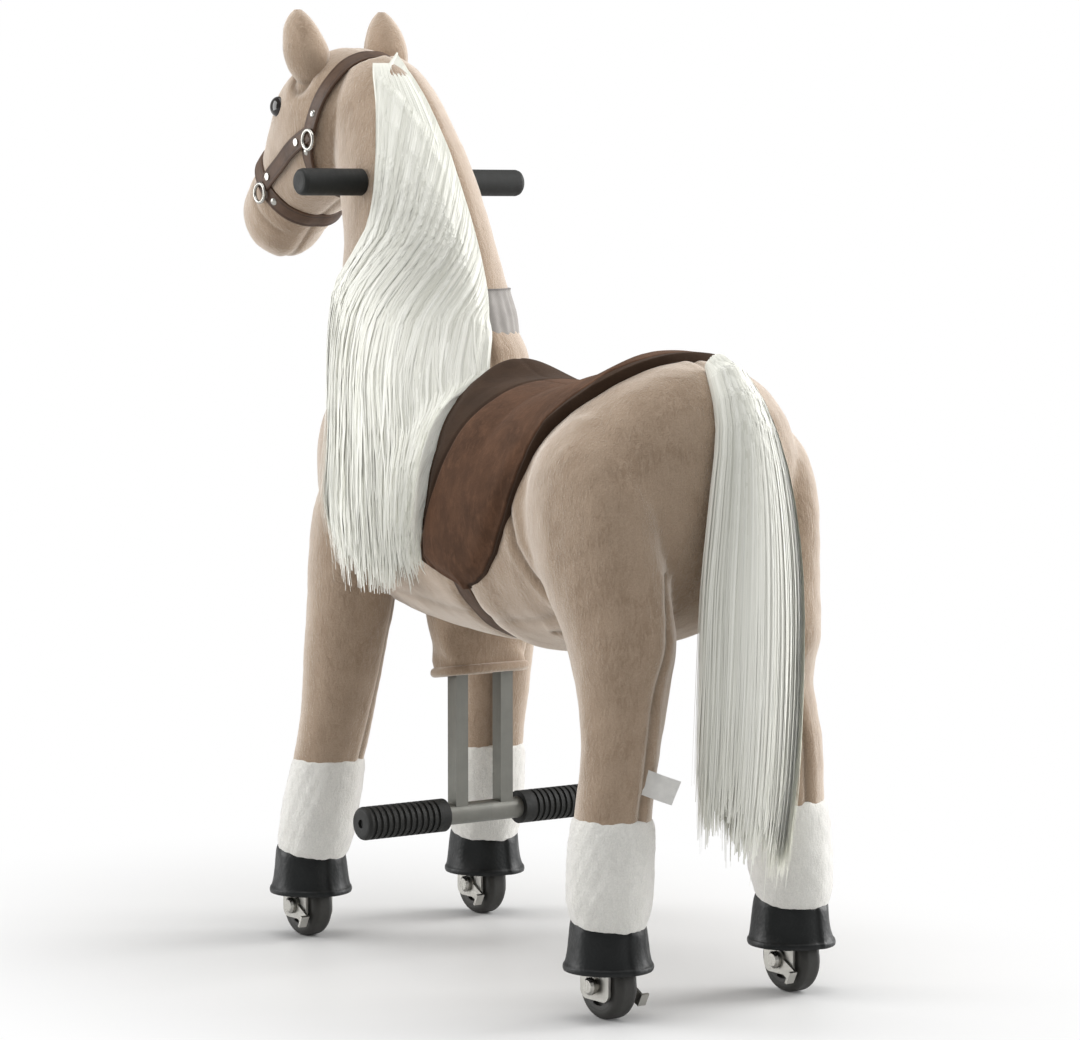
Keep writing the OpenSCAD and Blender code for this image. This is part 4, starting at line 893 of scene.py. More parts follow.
# Cloth round the neck and the footrest's posts
GAITER = [
    neck_ring(20, 624, 109, 88), neck_ring(20, 632.3, 108, 87), neck_ring(23, 650, 106, 87),
    neck_ring(25, 668, 102, 83), neck_ring(25, 676, 101, 81),
]
GAITER_WALL = 3.0


def make_gaiter():
    """The grey stretch band between trunk and neck: an oval tube with small gathers and a hem at each end."""
    rows = stations(GAITER, 8)
    angles = whole_turn(240)
    level = np.linspace(0, 1, len(rows))
    hem = np.exp(-((level - 0.03) / 0.06) ** 2) + np.exp(-((level - 0.97) / 0.06) ** 2)
    gathers = 0.8 * np.sin(37 * angles + 2.0 * np.sin(3 * angles)) * np.sin(np.pi * level)[:, None]
    outer = ovals(rows, angles)
    out = level_normals(outer)
    outer = outer + out * (gathers + 1.2 * hem[:, None])[..., None]
    inner = outer - GAITER_WALL * out
    seam = np.repeat(np.concatenate([hem, hem[::-1], hem[:1]]), len(angles))
    mesh = solid_mesh("gaiter", joined_rings(outer, inner[::-1]), {"seam": seam}, welded=True)
    piece = place("neck_gaiter_cloth", mesh, finish("gaiter"))
    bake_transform(piece)
    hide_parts("neck_gaiter")


SLEEVE_X = STEER_X - 75
# Rows of the sleeve: height, half depth, half width
SLEEVE_ROWS = ((287, 27, 49), (297, 28, 49.5), (309, 29, 50), (335, 32, 52.5), (372, 35, 55))
SLEEVE_WALL = 5.0
HEM_RADIUS = 5.0


def make_sleeve():
    """The plush sleeve that the footrest's posts leave the belly through: a square-sided tube with a rolled hem
    and soft folds."""
    rows = [(SLEEVE_X + 0.10 * (z - 284), 0, z, depth, width, -9, 3) for z, depth, width in SLEEVE_ROWS]
    angles = whole_turn(160)
    outer = ovals(stations(rows, 8), angles)
    level = np.linspace(0, 1, len(outer))[:, None]
    out = level_normals(outer)
    folds = 1.6 * np.sin(5 * angles + 9 * level) * np.sin(np.pi * level)
    outer = outer + out * folds[..., None]
    turn = np.linspace(0.5 * np.pi, 2.5 * np.pi, 22)[1:-1, None, None]
    roll = outer[0] + HEM_RADIUS * (np.sin(turn) * out[0] - np.cos(turn) * np.array([0, 0, 1]))
    made = {}
    for name, shape in (("sleeve_cloth", joined_rings(outer[::-1], outer - SLEEVE_WALL * out)),
                        ("sleeve_hem", joined_rings(roll))):
        mesh = solid_mesh(name, shape, {"seam": np.zeros(len(shape[0]))}, welded=True)
        made[name] = place(name, mesh, finish("coat"))
    cloth, hem = made["sleeve_cloth"], made["sleeve_hem"]
    carried(cloth, "trunk", "plush", "footrest_sleeve")
    carried(hem, "trunk", "plush")


# Socks and hooves
# Rows of a front sock: height, share of the way to the shoulder, radius
FRONT_SOCK = [(HOOF_TOP, 0.09, 35), (112.5, 0.15, 38.5), (141.9, 0.22, 39), (171.3, 0.29, 37.5),
              (SOCK_TOP, 0.32, 36)]
# Rows of a hind sock: height, how far back, radius, how far inward
HIND_SOCK = [(HOOF_TOP, 0, 35, 0), (112.5, 0, 39, 1), (141.9, -1, 40, 3), (171.3, -1, 39, 5), (SOCK_TOP, -2, 37, 6)]
SOCK_PILE = 1.5
SOCK_FOOT = (80, 30, 30)


def sock_rows(front):
    """Stations of a left sock, which swells over the hoof and turns in at its top."""
    if front:
        rows = [foreleg(z, share, r + SOCK_PILE, r + SOCK_PILE) for z, share, r in FRONT_SOCK]
    else:
        rows = [hindleg(z, back, r + SOCK_PILE, r + SOCK_PILE, inward) for z, back, r, inward in HIND_SOCK]
    foot = (*rows[0][:2], *SOCK_FOOT, *rows[0][5:])
    lip_radius = rows[-1][3] - 3
    lip = (*rows[-1][:2], SOCK_TOP + 4, lip_radius, lip_radius, *rows[-1][5:])
    return [foot, *rows, lip]


def make_socks():
    """White plush socks: swollen tubes with an uneven, tufted pile."""
    for front, word in ((True, "front"), (False, "rear")):
        mesh = solid_mesh("sock", gather(pair_of(loft(sock_rows(front), 12, 120))))
        points, quads, triangles, normals = arrays(mesh)
        points = rippled(points, normals, (1.2, 24, 11), (0.9, 9, 12), (0.6, 4, 13))
        low = np.clip((118 - points[:, 2]) / 26, 0, 1)
        points[:, 2] += low * front_rise(points, (FRONT_AXLE if front else REAR_AXLE)[0])
        name = word + "_sock_plush"
        mesh = make_mesh(name, (points, quads, triangles), values={"seam": np.zeros(len(points))})
        piece = place(name, mesh, finish("sock"))
        carried(piece, word + "_legs", "white_plush", word + "_socks")


# Outline of a hoof: radius and height above its hem
HOOF_PROFILE = [(42.4, 0), (43.0, 2), (42.6, 4.5), (40.9, 7), (39.2, 13), (37.9, 21), (37.0, 29), (36.0, 36),
                (34.0, 40), (31.8, 42)]
HOOF_RISE = 13.0
HOOF_LEATHER = 2.4
LAP_AT = math.radians(176)


def front_rise(points, centre_x):
    """How much higher the top of a hoof is than at its heel: a cosine round the leg, greatest in front."""
    away = np.stack([points[..., 0] - centre_x, np.abs(points[..., 1]) - WHEEL_Y], axis=-1)
    return 0.5 * HOOF_RISE * (1 + away[..., 0] / np.maximum(np.linalg.norm(away, axis=-1), 1e-6))


def make_hooves():
    """Leather hoof skirts: a flared profile turned about the leg, with a welted hem, a lapped seam at the outer rear
    and soft dents."""
    angles = whole_turn(180)
    outline = stations(HOOF_PROFILE, 5)
    height = outline[:, 1:] / HOOF_PROFILE[-1][1]
    for word, centre in (("front", FRONT_AXLE[0] - 6), ("rear", REAR_AXLE[0])):
        shapes, seams = [], []
        for side in (1, -1):
            away = np.angle(np.exp(1j * (angles - side * LAP_AT)))
            lap = 1.6 / (1 + np.exp(-away * 40)) * (np.abs(away) < 0.8) * (1 - np.clip(away / 0.8, 0, 1))
            dents = 0.9 * np.sin(3 * angles + side) + 0.6 * np.sin(7 * angles + 2)
            radius = outline[:, :1] + dents * np.sin(np.pi * height) + lap
            rise = 0.5 * HOOF_RISE * (1 + np.cos(angles)) * height ** 1.5
            level = HOOF_HEM + outline[:, 1:] + rise
            outer, inner = (
                np.stack([centre + r * np.cos(angles), side * WHEEL_Y + r * np.sin(angles), level], axis=-1)
                for r in (radius, radius - HOOF_LEATHER))
            shapes.append(joined_rings(outer, inner[::-1]))
            groove = np.exp(-((outline[:, 1] - 6.5) / 0.9) ** 2)[:, None] + np.exp(-(away / 0.03) ** 2)[None, :]
            groove = np.clip(groove, 0, 1)
            seams.append(np.concatenate([groove, np.zeros_like(groove), groove[:1]]).ravel())
        name = word + "_hoof_leather"
        mesh = solid_mesh(name, gather(shapes), {"seam": np.concatenate(seams)}, welded=True)
        piece = place(name, mesh, finish("hoof"))
        carried(piece, word + "_legs", "hoof_leather", word + "_hooves")


# Hair
# Rows of the mane: height, x from the steering axis, half depth, half width, angles of its rear and front edges
MANE_ROWS = [
    (918, 108, 30, 34, 183, 139), (902, 106, 46, 44, 183, 134), (862, 98, 72, 55, 183, 129),
    (800, 66, 89, 66, 183, 116), (735, 38, 99, 72, 182, 99), (680, 26, 112, 84, 180, 70),
    (640, 8, 118, 97, 172, 62), (590, -20, 118, 118, 163, 61), (530, -46, 119, 133, 164, 60),
    (470, -54, 122, 139, 165, 62), (432, -56, 114, 140, 162, 68), (370, -58, 100, 140, 158, 76),
]
POLL_Z = 918.0
WITHERS_Z = 640.0
NECK_FOOT = 626.0
MANE_TIP_Z = 414.0
MANE_BANDS = 22
HAIR_STEPS = 14
LOCK_FLATNESS = 0.12
MANE_TABLE = stations(MANE_ROWS, 8)[::-1]


def body_side(x, z):
    """Half width of what the mane hangs on, at a place in the side view: the larger of the trunk's rounded oval, with
    the saddle's pad behind the saddle's front edge, and the foreleg's oval."""
    top, bottom, width = trunk_at((x - HIP_X) / (STEER_X - HIP_X))
    tall = np.clip(np.abs(2 * z - top - bottom) / (top - bottom), 0, 1)
    behind = along(table_value(SADDLE_FRONT, z)) - x
    trunk = width * (1 - tall ** TRUNK_SQUARE) ** (1 / TRUNK_SQUARE) + SADDLE_PAD * np.clip(behind / 6, 0, 1)
    legs = np.array(FORELEG, float)
    leg_x, leg_y, depth, width = (np.interp(z, legs[:, 2], legs[:, k]) for k in (0, 1, 3, 4))
    leg = leg_y + width * np.sqrt(np.clip(1 - ((x - leg_x) / depth) ** 2, 0, 1))
    return np.maximum(trunk, np.where(z < 545, leg, 0))


def neck_reach():
    """Distance from the mane's axis to the outermost of the neck and its gaiter, on a grid of heights and angles, by
    rays from outside. Returns the heights, the angles and the distances."""
    levels = np.linspace(NECK_FOOT, POLL_Z + 6, 60)
    turns = np.radians(np.linspace(50, 195, 74))
    level, turn = np.meshgrid(levels, turns, indexing="ij")
    axis_x = STEER_X + np.interp(level, MANE_TABLE[:, 0], MANE_TABLE[:, 1])
    centre = np.stack([axis_x, 0 * level, level], axis=-1).reshape(-1, 3)
    out = np.stack([np.cos(turn), np.sin(turn), 0 * turn], axis=-1).reshape(-1, 3)
    far = np.zeros(level.size)
    for name in ("head_skin", "neck_gaiter_cloth"):
        found = hits(surface_of(name), centre + 300 * out, -out, centre)
        far = np.maximum(far, ((found - centre) * out).sum(axis=1))
    return levels, turns, far.reshape(level.shape)


def looked_up(table, row, column):
    """The value of a grid between its evenly spaced rows and columns."""
    rows, columns, grid = table
    down = np.clip((row - rows[0]) / (rows[1] - rows[0]), 0, len(rows) - 1.001)
    over = np.clip((column - columns[0]) / (columns[1] - columns[0]), 0, len(columns) - 1.001)
    i, j = down.astype(int), over.astype(int)
    a, b = down - i, over - j
    here = (1 - b) * grid[i, j] + b * grid[i, j + 1]
    following = (1 - b) * grid[i + 1, j] + b * grid[i + 1, j + 1]
    return (1 - a) * here + a * following


def mane_point(level, share, lift, neck):
    """A point of the mane's surface at a height, a share of the way from its front edge to its rear edge, lifted off
    the neck: centre plus half depth times cosine along x and half width times sine along y. It lies no deeper than the
    neck's surface, and below the withers no deeper than the body's side."""
    x, depth, width, rear, front = (np.interp(level, MANE_TABLE[:, 0], MANE_TABLE[:, k]) for k in range(1, 6))
    turn = np.radians(front + (rear - front) * share)
    out = np.stack([np.cos(turn), np.sin(turn), np.zeros_like(turn)], axis=-1)
    off = np.stack([depth * np.cos(turn), width * np.sin(turn)], axis=-1)
    far = np.linalg.norm(off, axis=-1)
    needed = looked_up(neck, level, np.arctan2(off[..., 1], off[..., 0]) % (2 * np.pi))
    off = off * np.maximum(1, np.where(level > NECK_FOOT, needed, 0) / far)[..., None]
    point = np.stack([STEER_X + x + off[..., 0], off[..., 1], level], axis=-1) + out * lift[..., None]
    side = np.where(level < 650, body_side(point[..., 0], level) + lift, -50.0)
    apart = point[..., 1] - side
    point[..., 1] = np.where(level < 650, 0.5 * (point[..., 1] + side + np.sqrt(apart ** 2 + 9)), point[..., 1])
    return point, out


def strands(paths, outs, widths, flats, tones, seed):
    """Locks of hair along paths: a flat triangle at each step, as wide as widths along the surface and as thick as
    flats out of it, narrowed at both ends. Returns the shape, UV and tone of each point."""
    count, steps = paths.shape[:2]
    run = unit(np.gradient(paths, axis=1))
    across = unit(np.cross(run, outs))
    rise = np.cross(across, run)
    half = across * widths[..., None]
    points = np.stack([paths - half, paths + rise * flats[..., None], paths + half], axis=2).reshape(-1, 3)
    lock, step, corner = np.meshgrid(np.arange(count), np.arange(steps - 1), np.arange(3), indexing="ij")
    base = (lock * steps + step) * 3
    following = (corner + 1) % 3
    quads = np.stack([base + corner, base + following, base + 3 + following, base + 3 + corner], axis=-1)
    first = np.arange(count) * steps * 3
    last = first + (steps - 1) * 3
    caps = np.concatenate([np.stack([first + 2, first + 1, first], axis=-1),
                           np.stack([last, last + 1, last + 2], axis=-1)])
    draw = np.random.default_rng(seed)
    start = draw.uniform(0, 40, count)[:, None, None]
    length = np.cumsum(np.linalg.norm(np.diff(paths, axis=1, prepend=paths[:, :1]), axis=-1), axis=1) * MM
    side = np.array([-1.0, 0.0, 1.0]) * widths[..., None] * MM
    uv = np.stack(np.broadcast_arrays(start + side, start + length[..., None]), axis=-1).reshape(-1, 2)
    tone = np.repeat(tones, 3, axis=-1).ravel()
    return (points, quads.reshape(-1, 4), caps), uv, tone


def taper(root, tip):
    """Width along a lock: swelling from its root and narrowing to its tip."""
    t = np.linspace(0, 1, HAIR_STEPS)
    return np.clip(t / root, 0.25, 1) * np.clip((1 - t) / tip, 0.06, 1) ** 0.7


def turned_out(shape):
    """A closed shape with its faces turned outwards, by the sign of its volume."""
    points, quads, triangles = shape
    corners = np.vstack([quads[:, [0, 1, 2]], quads[:, [0, 2, 3]], triangles])
    first, second, third = (points[corners[:, k]] for k in range(3))
    if (first * np.cross(second, third)).sum() > 0:
        return shape
    return points, quads[:, ::-1], triangles[:, ::-1]


def hair_piece(name, hair, replaced, blended, smooth):
    """A layer of hair as one piece, from its shape, UV and tone. Locks keep their flat faces."""
    shape, uv, tone = hair
    mesh = make_mesh(name, shape, uv=uv, values={"tone": tone})
    mesh.polygons.foreach_set("use_smooth", np.full(len(mesh.polygons), smooth))
    piece = place(name, mesh, finish("hair"))
    if blended:
        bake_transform(piece)
    else:
        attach(piece, "trunk")
    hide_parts(*replaced)


def mane_base(neck):
    """The close hair under the locks: a slab on the mane's surface with lines along its fall, which sinks into the neck
    at its borders. Returns its shape, UV and tone."""
    top = POLL_Z - 9
    level, share = np.meshgrid(np.linspace(top, 452, 90), np.linspace(-0.02, 1.0, 130), indexing="ij")
    wave = 0.7 * np.sin(share * 61) + 0.5 * np.sin(share * 143 + 1)
    inside = np.clip(np.minimum(share + 0.02, 1 - share) / 0.05, 0, 1) * np.clip((top - level) / 16, 0, 1)
    outer = mane_point(level, share, -2.5 + (3.4 + 0.6 * wave) * inside, neck)[0]
    inner = mane_point(level, share, np.full_like(level, -4.0), neck)[0]
    uv = np.stack([share * 0.22, level * MM], axis=-1).reshape(-1, 2)
    # Painted shade: the close hair is lighter on its raised lines and darker in the grooves between them.
    tone = (0.52 + 0.06 * wave).ravel()
    return turned_out(slab(outer, inner)), np.vstack([uv, uv]), np.concatenate([tone, tone])


def make_mane():
    """The mane: locks that leave the crest between poll and withers and fall on the left side, in bands."""
    settings = bpy.context.scene.horse_hair
    neck = neck_reach()
    # Layers: name, least and greatest lift, breadth of a lock, seed
    layers = (("mane_under", 1.5, 3.0, 2.2, 21), ("mane_middle", 2.5, 4.5, 1.8, 22),
              ("mane_over", 3.5, 5.5, 1.4, 23), ("mane_top", 4.0, 7.0, 0.8, 24))
    hair_piece("mane_base", mane_base(neck), ("mane_crest", "mane_fall"), True, True)
    for name, low, high, broad, seed in layers:
        draw = np.random.default_rng(seed)
        count = settings.mane_locks
        root = np.sort(draw.uniform(-0.05, 1.0, count))
        start = POLL_Z - (POLL_Z - WITHERS_Z) * root + draw.uniform(-4, 10, count)
        start = np.clip(start, WITHERS_Z, POLL_Z + 2)
        feather = 16 * np.sin(root * 37) + 12 * np.sin(root * 91 + 1) + 9 * np.sin(root * 213)
        tip = MANE_TIP_Z + 0.8 * feather + 16 * draw.normal(0, 1, count) + 90 * draw.uniform(0, 1, count) ** 3
        tip = tip + 62 * np.clip(np.abs(root - 0.38) / 0.62, 0, 1) ** 1.4
        tip = np.clip(tip, 374, 560)
        t = np.linspace(0, 1, HAIR_STEPS)
        level = start[:, None] + (tip - start)[:, None] * t
        crest = POLL_Z - WITHERS_Z
        reach = np.clip((POLL_Z + 8 - level) / crest, 1e-3, 1)
        own = (POLL_Z + 8 - start) / crest
        share = np.clip(own[:, None] / reach, 0, 1)
        band = np.round(own * MANE_BANDS) / MANE_BANDS
        pull = 0.5 * t ** 1.5 * draw.uniform(0.4, 1, count)[:, None]
        share = share + (np.clip(band[:, None] / reach, 0, 1) - share) * pull
        stray = 0.03 * draw.normal(0, 1, count) + 0.03 * np.sin(band * 57)
        share = share + stray[:, None] * t ** 2
        share = share + 0.012 * np.sin(own * 31 + 1)[:, None] * np.sin(2 * np.pi * t)
        share = np.clip(share, -0.06, 1.0)
        ridge = np.cos(own * MANE_BANDS * 2 * np.pi)[:, None] * np.sin(np.pi * t)
        loose = 6.0 * t ** 3 * draw.normal(0.3, 0.6, count)[:, None]
        lift = draw.uniform(low, high, count)[:, None] * np.clip(t * 6, 0.2, 1) + loose
        paths, outs = mane_point(level, share, lift + ridge, neck)
        widths = 0.5 * broad * settings.lock_width / MM * taper(0.1, 0.5)
        widths = widths * draw.uniform(0.55, 1.3, count)[:, None]
        lock_tone = 0.56 + 0.09 * np.sin(band * 83) + 0.05 * np.sin(band * 211 + 1)
        lock_tone = lock_tone + 0.07 * draw.normal(0, 1, count)
        # The ridge term is painted shade: lighter along the raised middle of each band of locks and darker in the gaps
        # between bands.
        tone = lock_tone[:, None] + 0.10 * ridge + 0.34 * np.clip(t * 1.6 - 0.6, 0, 1)
        tone = tone * (0.88 + 0.12 * np.clip(t * 6, 0, 1))
        locks = strands(paths, outs, widths, LOCK_FLATNESS * widths, np.clip(tone, 0, 1), seed)
        hair_piece(name, locks, ("mane_crest", "mane_fall"), True, False)


TAIL_Z = 612.0
TAIL_DROP = 424.0
TAIL_BANDS = 9
# Rows of the tail: drop, distance behind the hip, y, half depth, half width
TAIL = [
    (0, 62, 0, 9, 9), (4, 70, 0, 15, 13), (24, 88, -3, 18, 21), (62, 104, -6, 18, 31), (124, 111, -8, 19, 45),
    (209, 112, -9, 20, 55), (305, 111, -8, 20, 56), (400, 108, -6, 18, 54), (456, 106, -4, 14, 51),
    (516, 104, -3, 9, 47),
]


def tail_base(line):
    """The close hair in the middle of the tail: an oval along its line. Returns its shape, UV and tone."""
    kept = line[line[:, 0] < 400]
    angles = whole_turn(96)
    drop, back, side, depth, width = kept.T
    run = unit(np.gradient(np.stack([-back, -drop], axis=-1), axis=0))
    wave = 0.86 + 0.05 * np.sin(angles * 19) + 0.03 * np.sin(angles * 43)
    behind = np.stack([run[:, 1], 0 * drop, -run[:, 0]], axis=-1)
    rings = np.stack([HIP_X - back, side, TAIL_Z - drop], axis=-1)[:, None]
    rings = rings + (depth[:, None] * wave * np.cos(angles))[..., None] * behind[:, None]
    rings = rings + (width[:, None] * wave * np.sin(angles))[..., None] * np.array([0.0, 1.0, 0.0])
    uv = np.stack(np.broadcast_arrays(angles * 0.05, drop[:, None] * MM), axis=-1).reshape(-1, 2)
    # Painted shade: the tone follows the waves of the oval, lighter where it bulges out and darker in the grooves.
    tone = np.broadcast_to(0.54 + 0.8 * (wave - 0.86), rings.shape[:2]).ravel()
    return turned_out(closed_rings(rings)), np.vstack([uv, uv[:1], uv[-1:]]), np.append(tone, [0.6, 0.6])


def make_tail():
    """The tail: locks that keep their place in an oval which runs from the rump down and widens, with feathered
    tips."""
    settings = bpy.context.scene.horse_hair
    line = stations(TAIL, 8)
    # Layers: name, least and greatest share of the oval, breadth of a lock, seed
    layers = (("tail_under", 0.3, 0.85, 2.0, 31), ("tail_over", 0.85, 1.0, 1.8, 32),
              ("tail_top", 0.92, 1.06, 0.8, 33))
    hair_piece("tail_base", tail_base(line), ("tail",), False, True)
    for name, low, high, broad, seed in layers:
        draw = np.random.default_rng(seed)
        count = settings.tail_locks
        t = np.linspace(0, 1, HAIR_STEPS)
        turn = draw.uniform(0, 2 * np.pi, count)
        radius = draw.uniform(low, high, count)
        wide = (radius * np.sin(turn))[:, None]
        deep = (radius * np.cos(turn))[:, None]
        fringe = 12 * np.sin(wide[:, 0] * 7 + 1) + 8 * np.sin(wide[:, 0] * 23)
        tip = TAIL_DROP - 30 * wide[:, 0] + 16 * draw.normal(0, 1, count) + fringe
        tip = np.clip(tip - 80 * draw.uniform(0, 1, count) ** 3, 300, 506)
        drop = tip[:, None] * t ** 1.3
        back, side, depth, width = (np.interp(drop, line[:, 0], line[:, k]) for k in range(1, 5))
        band = np.round(wide * TAIL_BANDS) / TAIL_BANDS
        wide = wide + (band - wide) * 0.5 * t + 0.05 * draw.normal(0, 1, count)[:, None] * t ** 2
        middle = np.stack([HIP_X - back, side, TAIL_Z - drop], axis=-1)
        run = unit(np.gradient(middle, axis=1))
        behind = np.stack([run[..., 2], np.zeros_like(drop), -run[..., 0]], axis=-1)
        behind *= np.where(behind[..., :1] > 0, -1, 1)
        sideways = np.array([0.0, 1.0, 0.0])
        paths = middle + behind * (depth * deep)[..., None] + sideways * (width * wide)[..., None]
        outs = unit(behind * deep[..., None] + sideways * wide[..., None])
        widths = 0.5 * broad * settings.lock_width / MM * taper(0.08, 0.5)
        widths = widths * draw.uniform(0.55, 1.3, count)[:, None]
        tone = draw.normal(0.56, 0.07, count)[:, None] + 0.36 * np.clip(t * 1.6 - 0.5, 0, 1)
        # The cosine term is painted shade: lighter where locks gather in each band and darker in the gaps between
        # bands.
        tone = tone + 0.07 * np.cos(wide * TAIL_BANDS * 2 * np.pi) + 0.06 * np.sin(band * 40)
        locks = strands(paths, outs, widths, LOCK_FLATNESS * widths, np.clip(tone, 0, 1), seed)
        hair_piece(name, locks, ("tail",), False, False)


# Saddle and straps
# Lines in the side view: height and share of the trunk's length, and for the cantle height and rise
SADDLE_FRONT = [(392, 0.45), (400, 0.52), (412, 0.605), (450, 0.578), (476, 0.562), (519, 0.572), (560, 0.62),
                (600, 0.70), (660, 0.71)]
SADDLE_REAR = [(392, 0.41), (396, 0.37), (406, 0.325), (428, 0.267), (459, 0.222), (490, 0.189), (524, 0.156),
               (549, 0.119), (565, 0.07), (585, -0.008), (601, -0.051), (611, -0.08), (660, -0.085)]
PANEL_SEAM = [(440, 0.58), (465, 0.535), (485, 0.513), (520, 0.493), (560, 0.482), (590, 0.486)]
CANTLE_RISE = [(392, 5), (470, 5), (520, 7), (550, 11), (580, 15), (612, 16)]
SADDLE_PAD = 11.0
SADDLE_SUNK = 20.0
POMMEL_SHARE = 0.65
POMMEL_RISE = 13.0


def trunk_at(share):
    """Top, bottom and half width of the trunk at a share of its length."""
    rows = np.array(TRUNK, float)[::-1]
    shares = (rows[:, 0] - HIP_X) / (STEER_X - HIP_X)
    level, depth, width = (np.interp(share, shares, rows[:, k]) for k in (2, 3, 4))
    return level + depth, level - depth, width


def saddle_point(share, angle, lift):
    """A point over the trunk at a share of its length and an angle from the top, lifted off it."""
    top, bottom, width = trunk_at(share)
    up = signed_power(np.cos(angle), 2 / TRUNK_SQUARE)
    out = signed_power(np.sin(angle), 2 / TRUNK_SQUARE)
    level = (top + bottom) / 2 + ((top - bottom) / 2 + lift) * up
    return np.stack([along(share), (width + lift) * out, level], axis=-1)


def rolled(apart, rise, radius, inside, ease):
    """Height beside a rolled edge: a quarter round up to its rise, which then eases to the height inside."""
    round_up = np.sqrt(1 - (1 - np.clip(apart / radius, 0, 1)) ** 2)
    settle = np.exp(-(np.clip(apart - radius, 0, None) / ease) ** 2)
    return round_up * (inside + (rise - inside) * settle)


def make_saddle():
    """The saddle: a padded sheet over the back with a dark front panel, a bound rear edge that rises to a cantle, and
    flaps. Its edges follow their lines in the side view."""
    across, around = 150, 260
    t = np.linspace(0, 1, across)
    u = (t - 0.7 * np.sin(2 * np.pi * t) / (2 * np.pi))[:, None] * np.ones((1, around))
    angle = np.linspace(-1, 1, around)[None, :] * math.radians(117)
    share = np.full_like(u, 0.4)
    for _ in range(12):
        level = saddle_point(share, angle, 0.0)[..., 2]
        front = table_value(SADDLE_FRONT, level)
        share = front + (table_value(SADDLE_REAR, level) - front) * u
    flat = saddle_point(share, angle, 0.0)
    points = flat.reshape(-1, 3)
    from_front = distance_to(points, flat[0]).reshape(u.shape)
    from_rear = distance_to(points, flat[-1]).reshape(u.shape)
    rise = table_value(CANTLE_RISE, level)
    rear_roll = rolled(from_rear, rise, 3 + 0.3 * rise, SADDLE_PAD, 11)
    lift = np.minimum(rear_roll, rolled(from_front, 6, 4, SADDLE_PAD, 9))
    from_panel = (share - table_value(PANEL_SEAM, level)) * (STEER_X - HIP_X)
    side = np.abs(flat[..., 1])
    seat_line = np.where((share < 0.49) & (share > 0.02) & (level > 560), np.abs(side - 16), 99)
    crest_line = np.where((share > 0.49) & (level > 570), side, 99)
    corner = distance_to(points[:, [0, 2]], [(along(0.568), 426), (along(0.535), 400)]).reshape(u.shape)
    seam = np.exp(-(from_panel / 2.0) ** 2)
    for distances, strength in ((seat_line, 0.6), (crest_line, 0.7), (corner, 0.7)):
        seam = np.maximum(seam, strength * np.exp(-(distances / 1.8) ** 2))
    bound = 3.0 + np.clip(rise - 6, 0, None)
    seam = np.maximum(seam, 0.8 * np.exp(-((from_rear - bound) / 1.5) ** 2))
    soft = ripples(points, 46, 41).reshape(u.shape)
    fold = ripples(points * np.array([1.0, 0.35, 0.35]), 17, 42).reshape(u.shape)
    inner_part = np.clip(from_rear / 25, 0, 1) * np.clip(from_front / 15, 0, 1)
    lift = lift - 1.7 * seam + inner_part * (1.6 * soft + 0.7 * fold)
    pommel = np.exp(-((share - POMMEL_SHARE) / 0.07) ** 2) * np.exp(-(side / 42) ** 2)
    lift = lift + POMMEL_RISE * pommel * np.clip(from_front / 12, 0, 1) ** 0.5
    panel = np.maximum(np.clip(from_panel / 3 + 0.5, 0, 1), np.clip((bound - from_rear) / 1.5 + 0.5, 0, 1))
    shape = slab(saddle_point(share, angle, lift), saddle_point(share, angle, -SADDLE_SUNK))
    values = {"seam": np.concatenate([seam.ravel(), np.zeros(seam.size)]),
              "panel": np.concatenate([panel.ravel(), np.ones(panel.size)])}
    piece = place("saddle_suede", solid_mesh("saddle_suede", shape, values), finish("suede"))
    carried(piece, "trunk", "suede", "saddle")


def ribbon(path, outs, width, thick):
    """A strap along a path: a flat band with rounded edges, closed at both ends."""
    run = unit(np.gradient(path, axis=0))
    across = unit(np.cross(run, outs))
    rise = np.cross(across, run)
    section = np.array([(-1, 0.0), (-1, 0.6), (-0.93, 0.9), (-0.8, 1.0), (-0.66, 0.9), (-0.5, 1.0), (0, 1.05),
                        (0.5, 1.0), (0.66, 0.9), (0.8, 1.0), (0.93, 0.9), (1, 0.6), (1, 0.0), (0, -0.1)])
    rings = (path[:, None] + across[:, None] * (section[:, 0] * width / 2)[None, :, None]
             + rise[:, None] * (section[:, 1] * thick)[None, :, None])
    groove = np.tile(np.exp(-((np.abs(section[:, 0]) - 0.66) / 0.06) ** 2), len(path))
    return rings, groove


def ribbon_mesh(name, bands):
    """Several straps as one mesh."""
    shapes = [closed_rings(rings) for rings, groove in bands]
    seams = [np.append(groove, [0, 0]) for rings, groove in bands]
    return solid_mesh(name, gather(shapes), {"seam": np.concatenate(seams)})


def surface_of(piece_name):
    """A tree for finding where a ray meets a piece."""
    points, quads, triangles = arrays(bpy.data.objects[piece_name].data)[:3]
    return BVHTree.FromPolygons(points.tolist(), quads.tolist() + triangles.tolist())


def hits(tree, starts, aims, fallback):
    """Where rays from points in given directions first meet a surface."""
    found = []
    for start, aim, other in zip(starts, aims, fallback):
        place_hit = tree.ray_cast(Vector(start), Vector(aim))[0]
        found.append(other if place_hit is None else np.array(place_hit))
    return np.array(found)


def smoothed(path, rounds):
    """A line whose points move towards the mean of their neighbours, with its ends kept."""
    for _ in range(rounds):
        before, after = np.roll(path, 1, axis=0), np.roll(path, -1, axis=0)
        mean = 0.5 * path + 0.25 * (before + after)
        mean[0], mean[-1] = path[0], path[-1]
        path = mean
    return path


GIRTH_WIDTH = 24.0
STRAP_THICK = 3.0
CHEEK_THICK = 3.2


